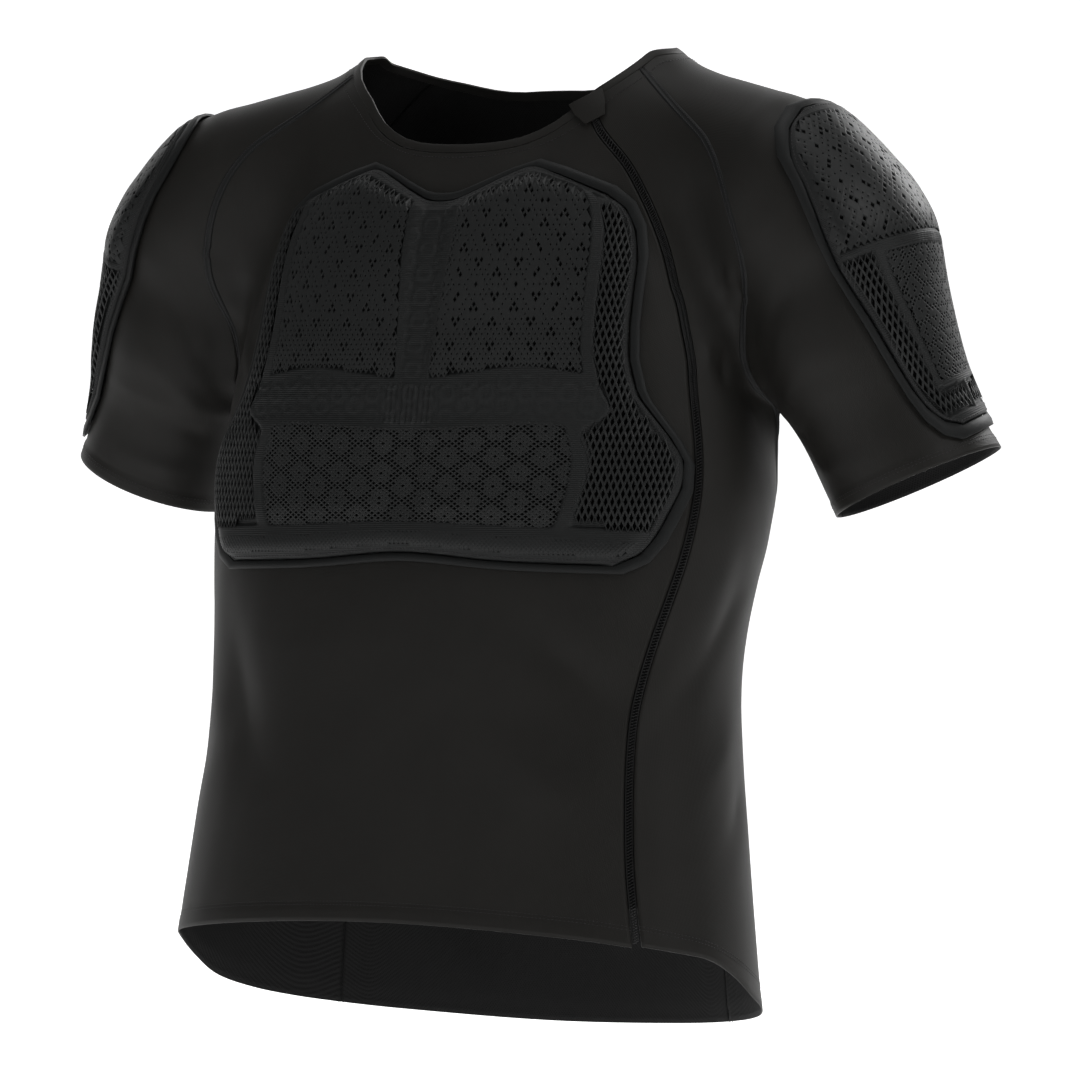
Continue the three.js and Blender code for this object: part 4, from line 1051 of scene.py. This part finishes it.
def ring_distance(a, b, pitch):
    """The distance to the nearest centre of a honeycomb of rings, in metres"""
    step = pitch * math.sqrt(3) / 2
    best = np.full(np.shape(a), 1.0)
    for k in (-1, 0, 1):
        i = np.round(a / step) + k
        shift = 0.5 * (i % 2)
        j = np.round(b / pitch - shift)
        best = np.minimum(best, np.hypot(a - i * step, b - (j + shift) * pitch))
    return best


# How closed a net's cell is: 0 open, 1 half closed, 2 closed
def upper_cells(a, b, t):
    d = ring_distance(a, b, 16 * MM) / MM
    weak = t > 0.40
    return np.where((d > 3.3) & (d < 6.2), np.where(weak, 1, 2), np.where(d >= 6.2, 1, 0))


def low_cells(a, b, t):
    d = ring_distance(a, b, 19 * MM) / MM
    return np.where((d > 7.2) | (d < 1.9), 0, 1)


def open_cells(a, b, t):
    return np.zeros(np.shape(a), int)


def half_cells(a, b, t):
    return np.ones(np.shape(a), int)


def ring_cells(a, b, t):
    d = ring_distance(a, b, 15 * MM) / MM
    return np.where((d > 3.0) & (d < 5.6), 2, np.where(d >= 5.6, 1, 0))


def dense_cells(a, b, t):
    d = ring_distance(a, b, 14 * MM) / MM
    return np.where((d > 2.6) & (d < 5.4), 2, 0)


# Each net: the width and height of its diamonds in millimetres, and how its cells close
NETS = {
    "chest_pad": {"upper": (4.1, 6.6, upper_cells), "low": (4.7, 3.3, low_cells), "side": (4.2, 10.5, open_cells),
                  "bottom": (3.2, 3.2, half_cells)},
    "shoulder": {"open": (4.6, 6.6, ring_cells), "dense": (3.6, 3.6, dense_cells), "side": (4.4, 10.5, open_cells)},
}
# The wall that each kind of cell keeps round its hole, as a share of the cell
WALLS = (0.15, 0.3)


def net(bm, pad, zones, zone, size, cells):
    """One net of diamonds over a field of the pad, each cell sunk to its foam, which is painted near-black as the
    shadow in the hole
    """
    w, h = size[0] * MM, size[1] * MM
    a1, b1 = pad.a.max() + w, pad.b.max() + h
    low = math.floor(-a1 / w - 1)
    high = math.ceil(a1 / w + b1 / h)
    part = bmesh.new()
    layer = part.loops.layers.uv.new("UVMap")
    count = high - low
    bmesh.ops.create_grid(part, x_segments=count, y_segments=count, size=0.5)
    p = low + (np.array([vert.co.x for vert in part.verts]) + 0.5) * count
    q = low + (np.array([vert.co.y for vert in part.verts]) + 0.5) * count
    a, b = (p - q) * w / 2, (p + q) * h / 2
    u, v = pad.sheet.find(pad.a, pad.b, a, b)
    s, t, fa, fb = pad.fields(u, v)
    reach = zones(pad, s, t)[zone]
    reach = np.where(np.hypot(fa - a, fb - b) < 0.5 * MM, reach, -1)
    points = pad.sheet.at(u, v) + pad.sheet.normal(u, v) * (COVER_LIFT + 0.15 * MM)
    for vert, point in zip(part.verts, points):
        vert.co = point
    part.verts.index_update()
    corner = {face: [vert.index for vert in face.verts] for face in part.faces}
    kind = {face: int(cells(a[ids].mean(), b[ids].mean(), t[ids].mean())) for face, ids in corner.items()}
    for face, ids in corner.items():
        for loop in face.loops:
            loop[layer].uv = (a[loop.vert.index], b[loop.vert.index])
    gone = [face for face, ids in corner.items() if reach[ids].min() < 0.2 * MM]
    for face in gone:
        del kind[face]
    bmesh.ops.delete(part, geom=gone, context="FACES")
    if not part.faces:
        raise RuntimeError(f"{zone}: no cell of the net lies on the pad")
    part.normal_update()
    wanted = pad.sheet.normal(np.array([0.5]), np.array([0.5]))[0]
    if sum(face.normal.dot(Vector(wanted)) for face in kind) < 0:
        bmesh.ops.reverse_faces(part, faces=part.faces)
    depth = sizes().net_depth
    side = min(w, h)
    for level, wall in enumerate(WALLS):
        faces = [face for face, k in kind.items() if k == level]
        if faces:
            bmesh.ops.inset_individual(part, faces=faces, thickness=side * wall, depth=-0.12 * MM,
                                       use_even_offset=True)
            bmesh.ops.inset_individual(part, faces=faces, thickness=side * 0.07, depth=-depth,
                                       use_even_offset=True)
            # each hole's bottom gets the foam, painted near-black as its shadow
            for face in faces:
                face.material_index = 1
    join(bm, part)


def cover(name, title, zones, relief, columns, rows):
    """A pad's knitted cover: sunk under its nets, ribbed between them"""
    pad = Pad(name)
    bm, u, v = grid_mesh(columns, rows)
    wide, high = SKIRT / pad.sheet.width, SKIRT / pad.sheet.height
    u, v = u * (1 + 2 * wide) - wide, v * (1 + 2 * high) - high
    past = np.maximum(np.maximum(-u, u - 1) * pad.sheet.width, np.maximum(-v, v - 1) * pad.sheet.height)
    s, t, a, b = pad.fields(u, v)
    deep = np.max(list(zones(pad, s, t).values()), axis=0)
    height, light = relief(pad, s, t, a, b)
    lift = COVER_LIFT + height - (TRAY + sizes().net_depth * 0.2) * soft_step(deep, 2.2 * MM, 3.4 * MM)
    lift = lift - SKIRT_FALL * soft_step(past, 0, SKIRT)
    points = pad.sheet.at(u, v) + pad.sheet.normal(u, v) * lift[:, None]
    place(bm, points, np.stack([a, b], 1))
    # light holds a painted highlight on the raised rings and rib crests and painted shade in the grooves
    keep_value(bm, "light", light)
    piece = finish_mesh(bm, title, [named("Spacer knit cover"), named("Pad foam with painted shadow")])
    solidify(piece, 1.0 * MM, inside=1)
    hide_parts(name)
    return piece


def chest_relief(pad, s, t, a, b):
    """Ribs of the chest pad's knit between its nets, and how light each place is painted: a painted highlight on the
    raised rings and rib crests, painted shade in the rib grooves
    """
    band = soft_step(inside(pad, s, t, -1, 0.97, 0.54, 0.645), -1 * MM, 1 * MM)
    column = soft_step(inside(pad, s, t, -1, 0.12 - 0.12 * t, 0.03, 0.54), -1 * MM, 1 * MM)
    ribs = 0.45 * MM * np.cos(2 * math.pi * a / (4 * MM)) * band
    lines = 0.35 * MM * np.cos(2 * math.pi * b / (3 * MM)) * column
    rings = ring_distance(a, b, 16 * MM) / MM
    raised = np.exp(-((rings - 5) / 1.2) ** 2) * (column + band)
    height = ribs + lines + 0.5 * MM * raised
    return height, np.clip(0.5 + 0.45 * raised + 0.25 * (ribs + lines) / MM, 0, 1)


def shoulder_relief(pad, s, t, a, b):
    """Ribs of a shoulder pad's knit between its nets, and how light each place is"""
    band = soft_step(inside(pad, s, t, -1, 0.95, 0.47, 0.50), -1 * MM, 1 * MM)
    ribs = 0.4 * MM * np.cos(2 * math.pi * a / (4 * MM)) * band
    return ribs, np.full(np.shape(a), 0.5)


def nets(pad_name, title, zones, table):
    """All nets of one pad as one piece"""
    pad = Pad(pad_name)
    bm = bmesh.new()
    for zone, (w, h, cells) in table.items():
        net(bm, pad, zones, zone, (w, h), cells)
    piece = finish_mesh(bm, title, [named("Net thread"), named("Pad foam with painted shadow")], smooth=False)
    return piece


def bound_edge_stitches(title, names):
    """A row of stitches on each pad just inside its bound edge"""
    s = sizes()
    bm = bmesh.new()
    for name in names:
        sheet = sheet_of(name)
        turn = np.linspace(0, 1, 90)
        zero, one = np.full(90, 0.012), np.full(90, 0.988)
        path = [(turn, zero), (one, turn), (turn[::-1], one), (zero, turn[::-1])]
        ring = np.concatenate([sheet.at(u, v) for u, v in path])
        part = bmesh.new()
        part.from_mesh(bpy.data.objects[COVERS[name]].data)
        tree = BVHTree.FromBMesh(part)
        part.free()
        stitches(bm, ring, s.stitch, (s.stitch * 0.72, s.thread, s.thread * 0.8), tree, lift=0.1 * MM)
    piece = finish_mesh(bm, title, [named("Sewing thread")])
    return piece


COVERS = {
    "chest_pad": "chest_pad_cover",
    "shoulder_pad_left": "shoulder_pad_cover_left",
    "shoulder_pad_right": "shoulder_pad_cover_right",
}


# ---------------------------------------------------------------- stage

YAW, ELEVATION, ROLL, DISTANCE = 30.0, 0.6, 0.3, 4.5   # degrees and metres: the photo's viewing angle
PHOTO_SCALE = 1520.0      # photo pixels for a metre at the shirt
PHOTO_WIDTH = 1080.0
PHOTO_ORIGIN = (516.0, 55.0)   # the frame's origin in the photo
SENSOR = 36.0
FLOOR_Z = -0.72
AIM = Vector((0, 0, -0.3))     # where the lights point
WORLD_LIGHT = 0.12


def view_axes():
    a, e, k = (math.radians(x) for x in (YAW, ELEVATION, ROLL))
    back = Vector((math.sin(a) * math.cos(e), -math.cos(a) * math.cos(e), math.sin(e)))
    right = Vector((math.cos(a), math.sin(a), 0))
    up = back.cross(right)
    return right * math.cos(k) + up * math.sin(k), up * math.cos(k) - right * math.sin(k), back, right


def make_camera():
    across, up, back, right = view_axes()
    half = PHOTO_WIDTH / 2
    target = right * ((half - PHOTO_ORIGIN[0]) / PHOTO_SCALE) - Vector((0, 0, (half - PHOTO_ORIGIN[1]) / PHOTO_SCALE))
    data = bpy.data.cameras.new("camera")
    data.sensor_width = SENSOR
    data.lens = SENSOR * PHOTO_SCALE * DISTANCE / PHOTO_WIDTH
    data.clip_end = 50
    camera = bpy.data.objects.new("camera", data)
    bpy.context.scene.collection.objects.link(camera)
    turn = Matrix((across, up, back)).transposed().to_4x4()
    camera.matrix_world = Matrix.Translation(target + back * DISTANCE) @ turn
    bpy.context.scene.camera = camera


def make_light(name, spot, size, power):
    data = bpy.data.lights.new(name, "AREA")
    data.shape = "DISK"
    data.size = size
    data.energy = power
    light = bpy.data.objects.new(name, data)
    bpy.context.scene.collection.objects.link(light)
    spot = Vector(spot)
    light.location = spot
    light.rotation_euler = (spot - AIM).to_track_quat("Z", "Y").to_euler()


def make_stage():
    """A pale floor that rises into a backdrop, soft lights and the camera"""
    right, _, back, _ = view_axes()
    bm = bmesh.new()
    bmesh.ops.create_grid(bm, x_segments=1, y_segments=1, size=6)
    far = [e for e in bm.edges if all(vert.co.y > 1 for vert in e.verts)]
    wall = bmesh.ops.extrude_edge_only(bm, edges=far)["geom"]
    for vert in [item for item in wall if isinstance(item, bmesh.types.BMVert)]:
        vert.co.z += 9
    bmesh.ops.bevel(bm, geom=far, offset=2.5, segments=16, affect="EDGES", profile=0.5, material=-1)
    bmesh.ops.rotate(bm, verts=bm.verts, cent=(0, 0, 0), matrix=Matrix.Rotation(math.radians(YAW), 3, "Z"))
    bmesh.ops.translate(bm, verts=bm.verts, vec=(0, 0, FLOOR_Z))
    mesh = bpy.data.meshes.new("studio_floor")
    for face in bm.faces:
        face.smooth = True
    bm.to_mesh(mesh)
    bm.free()
    floor = bpy.data.objects.new("studio_floor", mesh)
    bpy.context.scene.collection.objects.link(floor)
    mesh.materials.append(named("Studio floor"))
    floor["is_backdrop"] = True
    key = back * 2.2 + right * 2.4 + Vector((0, 0, 2.2))
    fill = back * 2.6 - right * 2.4 + Vector((0, 0, 0.9))
    top = Vector((0, 0, 3.0)) + back * 0.4
    rim = back * -1.6 + right * 1.8 + Vector((0, 0, 1.2))
    for name, spot, size, power in (("key", key, 1.8, 46), ("fill", fill, 2.2, 9), ("top", top, 2.0, 34),
                                    ("rim", rim, 1.2, 34)):
        make_light(name, spot, size, power)
    world = bpy.data.worlds.new("studio")
    bpy.context.scene.world = world
    world.use_nodes = True
    background = world.node_tree.nodes["Background"]
    background.inputs["Color"].default_value = (1, 1, 1, 1)
    background.inputs["Strength"].default_value = WORLD_LIGHT
    bpy.context.scene.view_settings.view_transform = "Standard"
    make_camera()


# ---------------------------------------------------------------- operators


def declare_sheets():
    """Works out each panel's flat size and the smaller of its area and its flat area, and keeps neither"""
    for name, title in PIECE_NAMES.items():
        sheet = sheet_of(name)
        flat = (round(sheet.width, 3), round(sheet.height, 3))
        min(sheet.area, flat[0] * flat[1])


class SHIRT_OT_panels(bpy.types.Operator):
    """Makes the five knitted panels with their soft folds"""
    bl_idname = "shirt.panels"
    bl_label = "Panels"

    def execute(self, context):
        for name in PANELS:
            panel(name)
        return {"FINISHED"}


class SHIRT_OT_trims(bpy.types.Operator):
    """Makes the neck band, the pads' bound edges and the zip's tape and garage"""
    bl_idname = "shirt.trims"
    bl_label = "Neck band, bindings and tape"

    def execute(self, context):
        for name in TRIMS:
            trim(name)
        return {"FINISHED"}


class SHIRT_OT_seams(bpy.types.Operator):
    """Lays the flat seams, and the stitches of seams, hem and cuffs, on the panels"""
    bl_idname = "shirt.seams"
    bl_label = "Seams and stitches"

    def execute(self, context):
        make_seams()
        make_hem_stitches()
        declare_sheets()
        return {"FINISHED"}


class SHIRT_OT_zip(bpy.types.Operator):
    """Makes the coil of the slanting front zip"""
    bl_idname = "shirt.zip"
    bl_label = "Zip"

    def execute(self, context):
        make_coil()
        return {"FINISHED"}


class SHIRT_OT_chest_pad(bpy.types.Operator):
    """Makes the chest pad's ribbed cover and its open nets"""
    bl_idname = "shirt.chest_pad"
    bl_label = "Chest pad"

    def execute(self, context):
        cover("chest_pad", COVERS["chest_pad"], chest_zones, chest_relief, 230, 180)
        nets("chest_pad", "chest_pad_nets", chest_zones, NETS["chest_pad"])
        bound_edge_stitches("chest_pad_stitches", ["chest_pad"])
        return {"FINISHED"}


class SHIRT_OT_shoulder_pads(bpy.types.Operator):
    """Makes both shoulder pads' covers and their open nets"""
    bl_idname = "shirt.shoulder_pads"
    bl_label = "Shoulder pads"

    def execute(self, context):
        for side in ("left", "right"):
            name = f"shoulder_pad_{side}"
            cover(name, COVERS[name], shoulder_zones, shoulder_relief, 90, 150)
            nets(name, f"shoulder_pad_nets_{side}", shoulder_zones, NETS["shoulder"])
        bound_edge_stitches("shoulder_pad_stitches", ["shoulder_pad_left", "shoulder_pad_right"])
        return {"FINISHED"}


class SHIRT_OT_stage(bpy.types.Operator):
    """Sets the pale floor, the soft lights and the camera"""
    bl_idname = "shirt.stage"
    bl_label = "Stage"

    def execute(self, context):
        make_stage()
        return {"FINISHED"}


OPERATORS = (SHIRT_OT_panels, SHIRT_OT_trims, SHIRT_OT_seams, SHIRT_OT_zip, SHIRT_OT_chest_pad,
             SHIRT_OT_shoulder_pads, SHIRT_OT_stage)


class SHIRT_PT_sidebar(bpy.types.Panel):
    """Lists the shirt's sizes, colours and operators"""
    bl_label = "Shirt"
    bl_idname = "SHIRT_PT_sidebar"
    bl_space_type = "VIEW_3D"
    bl_region_type = "UI"
    bl_category = "Shirt"

    def draw(self, context):
        for group in (context.scene.shirt_sizes, context.scene.shirt_colours):
            for key in group.bl_rna.properties.keys():
                if key not in ("rna_type", "name"):
                    self.layout.prop(group, key)
        for operator in OPERATORS:
            self.layout.operator(operator.bl_idname)


CLASSES = (ShirtSizes, ShirtColours) + OPERATORS + (SHIRT_PT_sidebar,)


def register():
    for cls in CLASSES:
        bpy.utils.register_class(cls)
    bpy.types.Scene.shirt_sizes = bpy.props.PointerProperty(type=ShirtSizes)
    bpy.types.Scene.shirt_colours = bpy.props.PointerProperty(type=ShirtColours)


def unregister():
    del bpy.types.Scene.shirt_colours
    del bpy.types.Scene.shirt_sizes
    for cls in reversed(CLASSES):
        bpy.utils.unregister_class(cls)


def plain(value):
    """Vectors as plain lists"""
    if isinstance(value, dict):
        return {key: plain(item) for key, item in value.items()}
    if isinstance(value, (list, tuple, Vector, np.ndarray)):
        return [plain(item) for item in value]
    return float(value)


def main():
    """Registers the add-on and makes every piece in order"""
    register()
    bpy.ops.shirt.panels()
    bpy.ops.shirt.trims()
    bpy.ops.shirt.seams()
    bpy.ops.shirt.zip()
    bpy.ops.shirt.chest_pad()
    bpy.ops.shirt.shoulder_pads()
    bpy.ops.shirt.stage()
    {"cad": plain(CAD_BOX), "visual": plain(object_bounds())}


if __name__ == "__main__":
    main()
